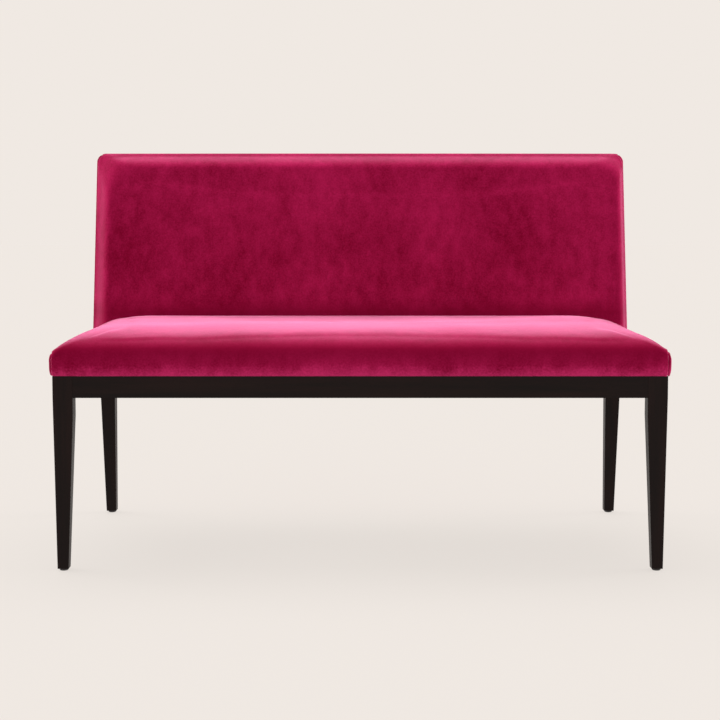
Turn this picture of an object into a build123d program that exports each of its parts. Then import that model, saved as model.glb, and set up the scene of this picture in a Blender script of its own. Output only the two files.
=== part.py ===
from build123d import *
import math
import os

# A bench-type dining settee: a low upholstered back and one long crowned seat on a dark wooden
# base with four square tapered legs. All lengths are millimetres.
# X runs across the width from the middle and Z up from the floor. The sizes below give depth
# back from the front faces of the front legs, and every piece is moved to the middle of the
# settee's depth when it is written.

# Whole settee
frame_width = 1320.0  # across the outer faces of the front legs
frame_height = 424.0  # top of the wooden base, where the upholstery starts
overall_height = 919.0  # top of the back

# Rails of the base and their tenons
rail_height = 46.6
rail_thickness = 22.0
rail_reveal = 0.6  # how far the front rail lies behind the faces of its legs
inner_rail_height = 40.0  # the rails that only show from below
tenon_thickness = 10.0
tenon_length = 18.0
tenon_shoulder = 6.0

# Front legs, square, with the outer face straight down to the rails' lower edge
front_leg_width = 43.0
front_leg_depth = 36.0
front_foot_width = 24.0
front_foot_depth = 25.0
front_foot_set_in = 5.0  # the foot's outer face inside the leg's outer face
front_foot_set_back = 3.0
leg_taper_drop = 40.0  # from the rails' lower edge down to where the inner faces start to taper
edge_easing = 1.5

# Rear legs, raked back below the seat and running on up as the posts of the back
rear_leg_set_in = 5.0  # their outer faces inside those of the front legs
rear_leg_width = 38.0
rear_leg_depth = 39.0
rear_foot_width = 25.0
rear_foot_depth = 26.0
rear_foot_front = 615.0
post_top_depth = 24.0
post_top_drop = 29.0  # from the top of the back down to the top of the post

# Glides under the feet
glide_height = 5.0
glide_radius = 9.5
glide_rounding = 2.0
pin_radius = 1.4
pin_length = 16.0
pin_head_radius = 3.4
pin_head_height = 1.2
pin_head_cover = 1.6  # glide left under the pin's head

# Corner blocks and the screws of the base
block_length = 50.0  # along each rail, past the leg
block_height = 22.0
block_drop = 4.0  # below the top of the base
block_clearance = 0.5  # from a raked leg
screw_radius = 2.2
screw_head_radius = 4.4
screw_head_height = 2.6
screw_tip_length = 5.0
screw_grip = 14.0  # length of screw in the far piece
screw_seat = 16.0  # wood left under a screw's head in a corner block
access_clearance = 1.0  # round a screw's head in its counterbore
deck_screw_grip = 15.0
deck_screw_counterbore = 6.0
deck_screw_set_in = 6.0  # from the front leg to the screw, across and back

# Layers of the upholstery
cover_thickness = 1.2
batting_thickness = 6.0
side_batting_thickness = 3.0  # thinner at the sides of the back
layer_gap = 0.3
pad_gap = 0.5  # between the seat's cover and the back's
turn_under = 28.0  # cover turned in under the pads
webbing_thickness = 1.2
webbing_width = 50.0

# Seat pad
seat_crown_height = 97.0  # above the base, over the middle of the seat
seat_edge_height = 42.0  # above the base, where front and rear turn over into the crown
seat_side_edge_height = 18.0  # above the base, where the sides do
seat_side_bulge = 8.0
seat_front_bulge = 6.0
seat_tuck = 5.0  # how far the walls draw in at the bottom
side_shoulder = 140.0  # from the wall to the level top
front_shoulder = 250.0
rear_shoulder = 14.0
seat_corner_radius = 12.0
seat_rear_corner_radius = 12.0
corner_growth = 85.0  # added to the corners' radius towards the top
shoulder_power = 2.3  # 2 is an ellipse, more is fuller
seat_seam_inset = 7.4  # from the side's widest line in to the seam

# Frame inside the seat
seat_frame_clearance = 1.5
seat_rail_width = 45.0
seat_rail_thickness = 21.0
spreader_width = 45.0
spreader_thickness = 12.0
seat_dowel_radius = 4.0
seat_dowel_length = 40.0
seat_dowel_spacing = 22.0
long_band_count = 4
cross_band_count = 11
band_end_margin = 6.0

# Dust cover under the seat
dust_cover_thickness = 0.5
dust_cover_clearance = 1.0

# Staples
staple_width = 11.0
staple_wire = 0.8
staple_leg = 9.0

# Back pad
back_foot_depth = 474.0  # depth of the back's face at the top of the base
back_lean = 100.7  # how much further back that face is at the top
back_foam_bottom = 42.0
back_foam_top = 33.0
back_crown = 4.0  # how far the middle of the face stands in front of its sides
back_corner_radius = 21.0  # top corners, seen from the front
back_roll_height = 36.0  # the face rolling over into the top
back_roll_depth = 42.0
back_rear_roll = 12.0
back_face_edge_radius = 20.0  # upright edges of the face
back_rear_edge_radius = 12.0
top_edge_share = 0.3  # of those edges left at the very top
back_seam_inset_left = 1.5
back_seam_inset_right = 7.5
back_seam_end_angle = 62.0  # degrees round the top corner to the end of the side seam

# Frame inside the back
back_bottom_rail_rise = 16.0
back_bottom_rail_height = 50.0
back_top_rail_drop = 14.0
back_top_rail_height = 55.0
stile_width = 40.0
stile_set_back = 8.0
back_dowel_radius = 5.0
back_dowel_length = 50.0
back_dowel_spacing = 26.0
across_band_count = 5
upright_band_count = 9

# Outside of the back
board_thickness = 3.0
outside_top_drop = 39.0  # from the top of the back down to the outside cover's top edge
outside_bottom_rise = 1.5
strip_height = 12.0
strip_gap = 1.0

overrun = 60.0  # cutting shapes reach this far past what they cut
crown_steps = 10
tuck_steps = 4
roll_steps = 8

# Places worked out from the sizes above
half_frame = frame_width / 2
rail_bottom = frame_height - rail_height
front_leg_inner = half_frame - front_leg_width
rear_leg_outer = half_frame - rear_leg_set_in
rear_leg_inner = rear_leg_outer - rear_leg_width
side_rail_inner = rear_leg_outer - rail_thickness
inner_rail_top = frame_height - dust_cover_thickness
inner_rail_bottom = inner_rail_top - inner_rail_height
front_rail_back = rail_reveal + rail_thickness
block_top = frame_height - block_drop
block_low = block_top - block_height

skin = cover_thickness + layer_gap + batting_thickness
side_skin = cover_thickness + layer_gap + side_batting_thickness
webbing_build = 2 * webbing_thickness + staple_wire

seat_half = half_frame + seat_side_bulge
seat_front = -seat_front_bulge
seat_frame_half = seat_half - seat_tuck - skin - seat_frame_clearance
seat_frame_front = seat_front + seat_tuck + skin + seat_frame_clearance
seat_frame_rear = back_foot_depth - pad_gap - seat_tuck - skin - seat_frame_clearance
seat_frame_bottom = frame_height + cover_thickness
seat_frame_top = seat_frame_bottom + seat_rail_thickness
support_rail_rear = seat_frame_rear
support_rail_front = support_rail_rear - rail_thickness

back_half = half_frame
back_build_bottom = skin + layer_gap + back_foam_bottom + layer_gap + webbing_build
back_build_top = skin + layer_gap + back_foam_top + layer_gap + webbing_build
post_top = overall_height - post_top_drop
back_corner_height = overall_height - back_corner_radius
back_bottom_rail_low = frame_height + back_bottom_rail_rise
back_bottom_rail_high = back_bottom_rail_low + back_bottom_rail_height
back_top_rail_high = overall_height - back_top_rail_drop
back_top_rail_low = back_top_rail_high - back_top_rail_height
outside_top = overall_height - outside_top_drop
outside_bottom = frame_height + outside_bottom_rise
outside_half = back_half - back_rear_edge_radius


# Lines that lean with the back, each giving a depth at a height
def up_the_back(height):
    return (height - frame_height) / (overall_height - frame_height)


def back_face(height):
    return back_foot_depth + back_lean * up_the_back(height)


def post_front(height):
    build = back_build_bottom + (back_build_top - back_build_bottom) * up_the_back(height)
    return back_face(height) + build


def post_rear(height):
    depth = rear_leg_depth + (post_top_depth - rear_leg_depth) * up_the_back(height)
    return post_front(height) + depth


def board_rear(height):
    return post_rear(height) + board_thickness


def back_rear(height):
    return board_rear(height) + cover_thickness


def shifted(line, amount):
    return lambda height: line(height) + amount


rear_leg_front = post_front(frame_height)
rear_leg_rear = post_rear(frame_height)


def rear_leg_face(height):
    share = (frame_height - height) / (frame_height - glide_height)
    return rear_leg_front + (rear_foot_front - rear_leg_front) * share


rear_rail_middle = (rear_leg_face(rail_bottom) + rear_leg_rear) / 2
rear_rail_front = rear_rail_middle - rail_thickness / 2
rear_rail_rear = rear_rail_middle + rail_thickness / 2


# General shapes
def block(x_range, y_range, z_range):
    size = [high - low for low, high in (x_range, y_range, z_range)]
    corner = Pos(x_range[0], y_range[0], z_range[0])
    return corner * Box(*size, align=(Align.MIN, Align.MIN, Align.MIN))


def side_slab(outline, x_range):
    """A slab across the width whose side view is an outline of (depth, height) points."""
    left, right = x_range
    face = Face(Wire.make_polygon([(left, depth, height) for depth, height in outline]))
    return extrude(face, amount=right - left, dir=(1, 0, 0))


def leaning_slab(front_line, rear_line, z_range, x_range):
    """A slab between two leaning lines."""
    low, high = z_range
    outline = [
        (front_line(low), low),
        (front_line(high), high),
        (rear_line(high), high),
        (rear_line(low), low),
    ]
    return side_slab(outline, x_range)


def both_sides(shape):
    return [mirror(shape, about=Plane.YZ), shape]


def group(shapes):
    return Compound([solid for shape in shapes for solid in shape.solids()])


def spread(count, low, high):
    """Evenly spaced middles between two ends."""
    return [low + (high - low) * (number + 0.5) / count for number in range(count)]


def place(origin, along, out):
    """A local frame with its X along one direction and its Z out of a face."""
    return Plane(origin=origin, x_dir=along, z_dir=out)


def rod(radius, length):
    return Cylinder(radius, length, align=(Align.CENTER, Align.CENTER, Align.MIN))


def wood_screw(length):
    """A pan-head screw along its own Z: head above zero, shank and point below it."""
    straight = length - screw_tip_length
    head = rod(screw_head_radius, screw_head_height)
    shank = Pos(0, 0, -straight) * rod(screw_radius, straight)
    tip = Pos(0, 0, -length) * Cone(
        0, screw_radius, screw_tip_length, align=(Align.CENTER, Align.CENTER, Align.MIN)
    )
    return head + shank + tip


def staple():
    """A staple with its crown on its own XY plane and its legs below."""
    crown = block(
        (-staple_width / 2, staple_width / 2), (-staple_wire / 2, staple_wire / 2), (0, staple_wire)
    )
    leg = block(
        (staple_width / 2 - staple_wire, staple_width / 2),
        (-staple_wire / 2, staple_wire / 2),
        (-staple_leg, 0),
    )
    return crown + leg + mirror(leg, about=Plane.YZ)


# Outlines of the pads, seen from above
def long_edge(start, end, bow):
    """A straight or bowed edge across the width; the bow moves its middle forward."""
    if bow == 0:
        return Edge.make_line(start, end)
    middle = (0, start[1] - bow, start[2])
    return Edge.make_three_point_arc(start, middle, end)


def corner_edge(start, end, centre, radius):
    direction = Vector(start) + Vector(end) - Vector(centre) * 2
    middle = Vector(centre) + direction.normalized() * radius
    return Edge.make_three_point_arc(start, middle, end)


def pad_outline(height, half, front, rear, bows, radii):
    """A rounded outline; bows and radii are (front, rear) and each face is given at its middle."""
    front_bow, rear_bow = bows
    near, far = radii
    front_side = front + front_bow
    rear_side = rear + rear_bow
    points = [
        (near - half, front_side, height),
        (half - near, front_side, height),
        (half, front_side + near, height),
        (half, rear_side - far, height),
        (half - far, rear_side, height),
        (far - half, rear_side, height),
        (-half, rear_side - far, height),
        (-half, front_side + near, height),
    ]
    return Wire([
        long_edge(points[0], points[1], front_bow),
        corner_edge(points[1], points[2], (half - near, front_side + near, height), near),
        Edge.make_line(points[2], points[3]),
        corner_edge(points[3], points[4], (half - far, rear_side - far, height), far),
        long_edge(points[4], points[5], rear_bow),
        corner_edge(points[5], points[6], (far - half, rear_side - far, height), far),
        Edge.make_line(points[6], points[7]),
        corner_edge(points[7], points[0], (near - half, front_side + near, height), near),
    ])


def rolled_share(share):
    """How far in a quarter round lies, from 0 where it starts to 1 at its end."""
    held = min(max(share, 0), 1)
    return 1 - math.sqrt(1 - held * held)


def shoulder_share(height, edge, top):
    """Share of a shoulder that lies outside a height, from 0 at its edge to 1 at the top."""
    up = min(max((height - edge) / (top - edge), 0), 1)
    return 1 - (1 - up**shoulder_power) ** (1 / shoulder_power)


# Solid of the seat, a skin's depth inside its outer face
def seat_section(height, depth_in, side_in, front_in, rear_in, growth):
    rear = back_face(height) - pad_gap - depth_in - rear_in
    near = seat_corner_radius - depth_in + growth
    far = seat_rear_corner_radius - depth_in + growth
    half = seat_half - depth_in - side_in
    front = seat_front + depth_in + front_in
    return pad_outline(height, half, front, rear, (0, back_crown), (near, far))


def seat_body(depth_in, bottom_in):
    """Walls that draw in at the bottom, under a crown that falls to the front and sides."""
    bottom = frame_height + bottom_in
    edge = frame_height + seat_edge_height
    side_edge = frame_height + seat_side_edge_height
    top = frame_height + seat_crown_height - depth_in
    heights = []
    for step in range(tuck_steps):
        turn = math.radians(90 * step / tuck_steps)
        heights.append(edge - (edge - bottom) * math.cos(turn))
    for step in range(crown_steps + 1):
        turn = math.radians(90 * step / crown_steps)
        heights.append(edge + (top - edge) * math.sin(turn) ** (2 / shoulder_power))
    sections = []
    for height in heights:
        in_share = shoulder_share(height, edge, top)
        side_share = shoulder_share(height, side_edge, top)
        tuck = seat_tuck * rolled_share((edge - height) / (edge - bottom))
        side_tuck = seat_tuck * rolled_share((side_edge - height) / (side_edge - bottom))
        sections.append(seat_section(
            height,
            depth_in,
            side_tuck + (side_shoulder - depth_in) * side_share,
            tuck + (front_shoulder - depth_in) * in_share,
            tuck + (rear_shoulder - depth_in) * in_share,
            corner_growth * in_share,
        ))
    return Solid.make_loft(sections, ruled=True)


# Solid of the back, inside its outer face by a depth at the face and another at the sides
def back_section(height, depth_in, side_in):
    """One level; its sides, face and rear each roll in towards the top by their own sizes."""
    below_top = overall_height - depth_in - height
    corner_share = rolled_share(1 - below_top / (back_corner_radius - depth_in))
    face_share = rolled_share(1 - below_top / (back_roll_height - depth_in))
    rear_share = rolled_share(1 - below_top / (back_rear_roll - depth_in))
    edge_share = 1 - (1 - top_edge_share) * corner_share
    half = back_half - side_in - (back_corner_radius - side_in) * corner_share
    front = back_face(height) + depth_in + (back_roll_depth - depth_in) * face_share
    rear = back_rear(height) - depth_in - (back_rear_roll - depth_in) * rear_share
    near = (back_face_edge_radius - depth_in) * edge_share
    far = (back_rear_edge_radius - depth_in) * edge_share
    return pad_outline(height, half, front, rear, (back_crown, 0), (near, far))


def back_body(depth_in, side_in, bottom_in):
    top = overall_height - depth_in
    heights = [frame_height + bottom_in]
    for step in range(roll_steps + 1):
        turn = math.radians(90 * step / roll_steps)
        heights.append(top - (back_roll_height - depth_in) * (1 - math.sin(turn)))
    sections = [back_section(height, depth_in, side_in) for height in heights]
    return Solid.make_loft(sections, ruled=True)


# Base
def make_front_rail():
    z_range = (rail_bottom, frame_height)
    body = block((-front_leg_inner, front_leg_inner), (rail_reveal, front_rail_back), z_range)
    middle = (rail_reveal + front_rail_back) / 2
    tenon_end = front_leg_inner + tenon_length
    tenon = block(
        (-tenon_end, tenon_end),
        (middle - tenon_thickness / 2, middle + tenon_thickness / 2),
        (rail_bottom + tenon_shoulder, frame_height - tenon_shoulder),
    )
    return body + tenon


def make_rear_rail():
    z_range = (rail_bottom, frame_height)
    body = block((-rear_leg_inner, rear_leg_inner), (rear_rail_front, rear_rail_rear), z_range)
    tenon_end = rear_leg_inner + tenon_length
    tenon = block(
        (-tenon_end, tenon_end),
        (rear_rail_middle - tenon_thickness / 2, rear_rail_middle + tenon_thickness / 2),
        (rail_bottom + tenon_shoulder, frame_height - tenon_shoulder),
    )
    return body + tenon


def make_side_rail():
    """The right-hand rail, square to the front leg and cut to the rake of the rear one."""
    outline = [
        (front_leg_depth, rail_bottom),
        (rear_leg_face(rail_bottom), rail_bottom),
        (rear_leg_face(frame_height), frame_height),
        (front_leg_depth, frame_height),
    ]
    body = side_slab(outline, (side_rail_inner, rear_leg_outer))
    middle = (side_rail_inner + rear_leg_outer) / 2
    tenon = block(
        (middle - tenon_thickness / 2, middle + tenon_thickness / 2),
        (front_leg_depth - tenon_length, rear_leg_front + tenon_length),
        (rail_bottom + tenon_shoulder, frame_height - tenon_shoulder),
    )
    return body + tenon


def make_support_rail():
    """Carries the rear edge of the seat, between the side rails."""
    z_range = (inner_rail_bottom, inner_rail_top)
    return block(
        (-side_rail_inner, side_rail_inner), (support_rail_front, support_rail_rear), z_range
    )


def make_cross_rail():
    """Runs from the front rail to the support rail under the middle of the seat."""
    z_range = (inner_rail_bottom, inner_rail_top)
    y_range = (front_rail_back, support_rail_front)
    return block((-rail_thickness / 2, rail_thickness / 2), y_range, z_range)


def leg_section(x_range, y_range, height):
    """A leg's rectangular section with its edges eased."""
    left, right = x_range
    near, far = y_range
    easing = edge_easing
    rectangle = Rectangle(right - left, far - near)
    eased = fillet(rectangle.vertices(), easing)
    return (Pos((left + right) / 2, (near + far) / 2, height) * eased).wire()


def make_front_leg(rails):
    """The right-hand front leg, tapered on its inner faces, with mortises for two rails."""
    taper_top = rail_bottom - leg_taper_drop
    foot_outer = half_frame - front_foot_set_in
    foot_inner = foot_outer - front_foot_width
    foot_rear = front_foot_set_back + front_foot_depth
    sections = []
    for height in (glide_height, taper_top, rail_bottom, frame_height):
        outer_share = max(0, (rail_bottom - height) / (rail_bottom - glide_height))
        inner_share = max(0, (taper_top - height) / (taper_top - glide_height))
        outer = half_frame - front_foot_set_in * outer_share
        inner = front_leg_inner + (foot_inner - front_leg_inner) * inner_share
        near = front_foot_set_back * outer_share
        far = front_leg_depth + (foot_rear - front_leg_depth) * inner_share
        sections.append(leg_section((inner, outer), (near, far), height))
    leg = Solid.make_loft(sections, ruled=True)
    for rail in rails:
        leg = leg - rail
    return leg


def make_rear_post(rails):
    """Leg and back post in one bent piece, as it is sawn from the plank."""
    foot_inner = rear_leg_outer - rear_foot_width
    foot_rear = rear_foot_front + rear_foot_depth
    taper_share = (frame_height - rail_bottom) / (frame_height - glide_height)
    waist_rear = rear_leg_rear + (foot_rear - rear_leg_rear) * taper_share
    leg_x = (rear_leg_inner, rear_leg_outer)
    post = Solid.make_loft([
        leg_section((foot_inner, rear_leg_outer), (rear_foot_front, foot_rear), glide_height),
        leg_section(leg_x, (rear_leg_face(rail_bottom), waist_rear), rail_bottom),
        leg_section(leg_x, (rear_leg_front, rear_leg_rear), frame_height),
        leg_section(leg_x, (post_front(post_top), post_rear(post_top)), post_top),
    ], ruled=True)
    for rail in rails:
        post = post - rail
    return post


def foot_centres():
    """Middle of the right-hand front foot and rear foot."""
    front_x = half_frame - front_foot_set_in - front_foot_width / 2
    front_y = front_foot_set_back + front_foot_depth / 2
    rear_x = rear_leg_outer - rear_foot_width / 2
    rear_y = rear_foot_front + rear_foot_depth / 2
    return (front_x, front_y), (rear_x, rear_y)


def make_glide_pin(centre):
    head = rod(pin_head_radius, pin_head_height)
    return Pos(*centre, pin_head_cover) * (head + rod(pin_radius, pin_length))


def make_glide(centre, pin):
    disc = rod(glide_radius, glide_height)
    disc = fillet(disc.edges().sort_by(Axis.Z)[0], glide_rounding)
    return Pos(*centre, 0) * disc - pin


def make_front_block():
    """A corner block notched round the right-hand front leg."""
    run = block_length
    outline = [
        (front_leg_inner, front_rail_back),
        (front_leg_inner - run, front_rail_back),
        (side_rail_inner, front_leg_depth + run),
        (side_rail_inner, front_leg_depth),
        (front_leg_inner, front_leg_depth),
    ]
    return upright_prism(outline)


def make_rear_block():
    """A corner block notched round the right-hand rear leg."""
    run = block_length
    notch = rear_leg_front - block_clearance
    outline = [
        (rear_leg_inner - block_clearance, rear_rail_front),
        (rear_leg_inner - run, rear_rail_front),
        (side_rail_inner, notch - run),
        (side_rail_inner, notch),
        (rear_leg_inner - block_clearance, notch),
    ]
    return upright_prism(outline)


def upright_prism(outline):
    """A corner block from its outline seen from above."""
    face = Face(Wire.make_polygon([(x, y, block_low) for x, y in outline]))
    return extrude(face, amount=block_height, dir=(0, 0, 1))


def block_screws():
    """Screws of the right-hand front and rear blocks, each under its head and where it points."""
    middle = (block_low + block_top) / 2
    across = front_leg_inner - block_length / 2
    back = front_leg_depth + block_length / 2
    rear_across = rear_leg_inner - block_length / 2
    rear_back = rear_leg_front - block_clearance - block_length / 2
    seat_x = side_rail_inner - screw_seat
    return [
        ((across, front_rail_back + screw_seat, middle), (0, -1, 0)),
        ((seat_x, back, middle), (1, 0, 0)),
    ], [
        ((rear_across, rear_rail_front - screw_seat, middle), (0, 1, 0)),
        ((seat_x, rear_back, middle), (1, 0, 0)),
    ]


def driven(shape, origin, direction):
    """Puts a shape made along its own Z where it is driven in along a direction."""
    out = [-part for part in direction]
    return place(origin, (0, 0, 1), out) * shape


def deck_screw_places():
    """Undersides of the heads of the upright screws that hold the seat down."""
    places = []
    front_x = front_leg_inner - deck_screw_set_in
    front_y = front_leg_depth + deck_screw_set_in
    for x in (-front_x, front_x):
        places.append((x, front_y, block_low + deck_screw_counterbore))
    rear_y = (support_rail_front + support_rail_rear) / 2
    for x in (-front_x, 0, front_x):
        places.append((x, rear_y, inner_rail_bottom + deck_screw_counterbore))
    return places


def deck_screw(origin):
    length = seat_frame_bottom + deck_screw_grip - origin[2]
    up = place(origin, (1, 0, 0), (0, 0, -1))
    return up * wood_screw(length)


def deck_screw_access(origin):
    radius = screw_head_radius + access_clearance
    return place(origin, (1, 0, 0), (0, 0, -1)) * rod(radius, overrun)


# Seat frame and webbing
def make_seat_rails():
    z_range = (seat_frame_bottom, seat_frame_top)
    inner = seat_frame_half - seat_rail_width
    front_inner = seat_frame_front + seat_rail_width
    rear_inner = seat_frame_rear - seat_rail_width
    wide = (-seat_frame_half, seat_frame_half)
    return {
        "seat_frame_front_rail": block(wide, (seat_frame_front, front_inner), z_range),
        "seat_frame_rear_rail": block(wide, (rear_inner, seat_frame_rear), z_range),
        "seat_frame_left_rail": block((-seat_frame_half, -inner), (front_inner, rear_inner), z_range),
        "seat_frame_right_rail": block((inner, seat_frame_half), (front_inner, rear_inner), z_range),
        "seat_frame_spreader": block(
            (-spreader_width / 2, spreader_width / 2),
            (front_inner, rear_inner),
            (seat_frame_bottom, seat_frame_bottom + spreader_thickness),
        ),
    }


def make_seat_dowels():
    dowels = []
    rail_x = seat_frame_half - seat_rail_width / 2
    height = seat_frame_bottom + seat_rail_thickness / 2
    joints = (seat_frame_front + seat_rail_width, seat_frame_rear - seat_rail_width)
    for x in (-rail_x, rail_x):
        for y in joints:
            for side in (-seat_dowel_spacing / 2, seat_dowel_spacing / 2):
                start = (x + side, y - seat_dowel_length / 2, height)
                dowels.append(place(start, (1, 0, 0), (0, 1, 0)) * rod(seat_dowel_radius, seat_dowel_length))
    return group(dowels)


def make_seat_webbing():
    """Long bands on the frame, cross bands on them, and the staples through both."""
    low = seat_frame_top
    middle = low + webbing_thickness
    high = middle + webbing_thickness
    half_band = webbing_width / 2
    x_end = seat_frame_half - band_end_margin
    y_near = seat_frame_front + band_end_margin
    y_far = seat_frame_rear - band_end_margin
    x_inner = seat_frame_half - seat_rail_width
    y_inner = (seat_frame_front + seat_rail_width, seat_frame_rear - seat_rail_width)
    long_bands, cross_bands, staples = [], [], []
    for y in spread(long_band_count, *y_inner):
        long_bands.append(block((-x_end, x_end), (y - half_band, y + half_band), (low, middle)))
        for x in (-seat_frame_half + seat_rail_width / 2, seat_frame_half - seat_rail_width / 2):
            staples.append(place((x, y, middle), (0, 1, 0), (0, 0, 1)) * staple())
    for x in spread(cross_band_count, -x_inner, x_inner):
        cross_bands.append(block((x - half_band, x + half_band), (y_near, y_far), (middle, high)))
        for y in (seat_frame_front + seat_rail_width / 2, seat_frame_rear - seat_rail_width / 2):
            staples.append(place((x, y, high), (1, 0, 0), (0, 0, 1)) * staple())
    return group(long_bands), group(cross_bands), group(staples)


# Seat upholstery
def make_seat_cover():
    """The cover over its own thickness, turned in under the frame: main, left and right."""
    shell = seat_body(0, 0) - seat_body(cover_thickness, cover_thickness)
    opening = block(
        (turn_under - seat_frame_half, seat_frame_half - turn_under),
        (seat_frame_front + turn_under, seat_frame_rear - turn_under),
        (frame_height - overrun, seat_frame_bottom),
    )
    shell = shell - opening
    seam = seat_half - seat_seam_inset
    side = block(
        (seam, seat_half + overrun),
        (seat_front - overrun, back_foot_depth + overrun),
        (frame_height - overrun, overall_height),
    )
    left_side = mirror(side, about=Plane.YZ)
    return shell - side - left_side, shell & left_side, shell & side


def make_seat_batting():
    outer = cover_thickness + layer_gap
    return seat_body(outer, cover_thickness) - seat_body(skin, cover_thickness)


def make_seat_foam():
    low = seat_frame_top + webbing_build + layer_gap
    below = block(
        (-frame_width, frame_width), (-frame_width, frame_width), (rail_bottom, low)
    )
    return seat_body(skin + layer_gap, cover_thickness) - below


def make_dust_cover():
    """A thin sheet on the inner rails, notched at the four legs."""
    low = frame_height - dust_cover_thickness
    clear = dust_cover_clearance
    sheet = block(
        (clear - side_rail_inner, side_rail_inner - clear),
        (front_rail_back + clear, rear_rail_front - clear),
        (low, frame_height),
    )
    front_notch = block(
        (front_leg_inner - clear, half_frame), (0, front_leg_depth + clear), (rail_bottom, overall_height)
    )
    rear_notch = block(
        (rear_leg_inner - clear, half_frame),
        (rear_leg_front - clear, rear_leg_rear),
        (rail_bottom, overall_height),
    )
    for notch in both_sides(front_notch) + both_sides(rear_notch):
        sheet = sheet - notch
    return sheet


# Back frame and webbing
def make_back_rails():
    between = (-rear_leg_inner, rear_leg_inner)
    lower = (back_bottom_rail_low, back_bottom_rail_high)
    upper = (back_top_rail_low, back_top_rail_high)
    return {
        "back_bottom_rail": leaning_slab(post_front, post_rear, lower, between),
        "back_top_rail": leaning_slab(post_front, post_rear, upper, between),
        "back_centre_stile": leaning_slab(
            shifted(post_front, stile_set_back),
            post_rear,
            (back_bottom_rail_high, back_top_rail_low),
            (-stile_width / 2, stile_width / 2),
        ),
    }


def make_back_dowels():
    dowels = []
    for low, high in (
        (back_bottom_rail_low, back_bottom_rail_high), (back_top_rail_low, back_top_rail_high)
    ):
        top = min(high, post_top)
        middle = (low + top) / 2
        for height in (middle - back_dowel_spacing / 2, middle + back_dowel_spacing / 2):
            depth = (post_front(height) + post_rear(height)) / 2
            start = (rear_leg_inner - back_dowel_length / 2, depth, height)
            dowel = place(start, (0, 0, 1), (1, 0, 0)) * rod(back_dowel_radius, back_dowel_length)
            dowels += both_sides(dowel)
    return group(dowels)


def make_back_webbing():
    """Bands across the posts, upright bands over them, and their staples."""
    first = shifted(post_front, -webbing_thickness)
    second = shifted(first, -webbing_thickness)
    half_band = webbing_width / 2
    x_end = rear_leg_outer - band_end_margin
    post_x = (rear_leg_inner + rear_leg_outer) / 2
    slope = (post_front(overall_height) - post_front(frame_height)) / (overall_height - frame_height)
    out = (0, -1, slope)
    up = (0, slope, 1)
    across, upright, staples = [], [], []
    for height in spread(across_band_count, back_bottom_rail_high, back_top_rail_low):
        z_range = (height - half_band, height + half_band)
        across.append(leaning_slab(first, post_front, z_range, (-x_end, x_end)))
        for x in (-post_x, post_x):
            staples.append(place((x, first(height), height), up, out) * staple())
    z_ends = (back_bottom_rail_low + band_end_margin, post_top - band_end_margin)
    z_staples = (
        (back_bottom_rail_low + back_bottom_rail_high) / 2, (back_top_rail_low + z_ends[1]) / 2
    )
    for x in spread(upright_band_count, -rear_leg_inner, rear_leg_inner):
        upright.append(leaning_slab(second, first, z_ends, (x - half_band, x + half_band)))
        for height in z_staples:
            staples.append(place((x, second(height), height), (1, 0, 0), out) * staple())
    return group(across), group(upright), group(staples)


# Back upholstery
def side_panel_cutter(inset):
    """All that lies outside the right-hand side seam, seen from the front."""
    seam = back_half - inset
    centre_x = back_half - back_corner_radius
    radius = back_corner_radius - inset
    end = math.radians(back_seam_end_angle)
    middle = end / 2
    far = back_half + overrun
    low = frame_height - overrun
    near = -overrun

    def around(angle, distance):
        x = centre_x + distance * math.cos(angle)
        return (x, near, back_corner_height + distance * math.sin(angle))

    outer = around(end, back_corner_radius + overrun)
    edges = [
        Edge.make_line((seam, near, low), (seam, near, back_corner_height)),
        Edge.make_three_point_arc(
            (seam, near, back_corner_height), around(middle, radius), around(end, radius)
        ),
        Edge.make_line(around(end, radius), outer),
        Edge.make_line(outer, (far, near, outer[2])),
        Edge.make_line((far, near, outer[2]), (far, near, low)),
        Edge.make_line((far, near, low), (seam, near, low)),
    ]
    return extrude(Face(Wire(edges)), amount=rear_foot_front + overall_height, dir=(0, 1, 0))


def make_back_cover():
    """The cover over face, top and sides, open behind: main, left and right."""
    shell = back_body(0, 0, 0) - back_body(cover_thickness, cover_thickness, cover_thickness)
    opening = outside_half + layer_gap
    shell = shell - leaning_slab(
        shifted(board_rear, -layer_gap),
        shifted(back_rear, overrun),
        (frame_height - overrun, outside_top),
        (-opening, opening),
    )
    underside = block(
        (-rear_leg_outer, rear_leg_outer),
        (back_foot_depth + turn_under, rear_foot_front + overrun),
        (frame_height - overrun, frame_height + cover_thickness),
    )
    shell = shell - underside
    right = side_panel_cutter(back_seam_inset_right)
    left = mirror(side_panel_cutter(back_seam_inset_left), about=Plane.YZ)
    return shell - left - right, shell & left, shell & right


def frame_space():
    """Room inside the batting for the frame, its webbing and the board."""
    front_line = shifted(post_front, -webbing_build - layer_gap)
    rear_line = shifted(back_rear, overrun)
    side = rear_leg_outer + layer_gap
    low = frame_height - overrun
    posts = leaning_slab(front_line, rear_line, (low, post_top + layer_gap), (-side, side))
    inner = rear_leg_inner + layer_gap
    rail = leaning_slab(
        front_line, rear_line, (low, back_top_rail_high + layer_gap), (-inner, inner)
    )
    return posts + rail


def make_back_batting():
    outer = cover_thickness + layer_gap
    body = back_body(outer, outer, cover_thickness) - back_body(skin, side_skin, cover_thickness)
    return body - frame_space()


def make_back_foam():
    behind = leaning_slab(
        shifted(post_front, -webbing_build - layer_gap),
        shifted(back_rear, overrun),
        (frame_height - overrun, overall_height + overrun),
        (-frame_width, frame_width),
    )
    inner = skin + layer_gap
    return back_body(inner, side_skin + layer_gap, cover_thickness) - behind


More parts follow.
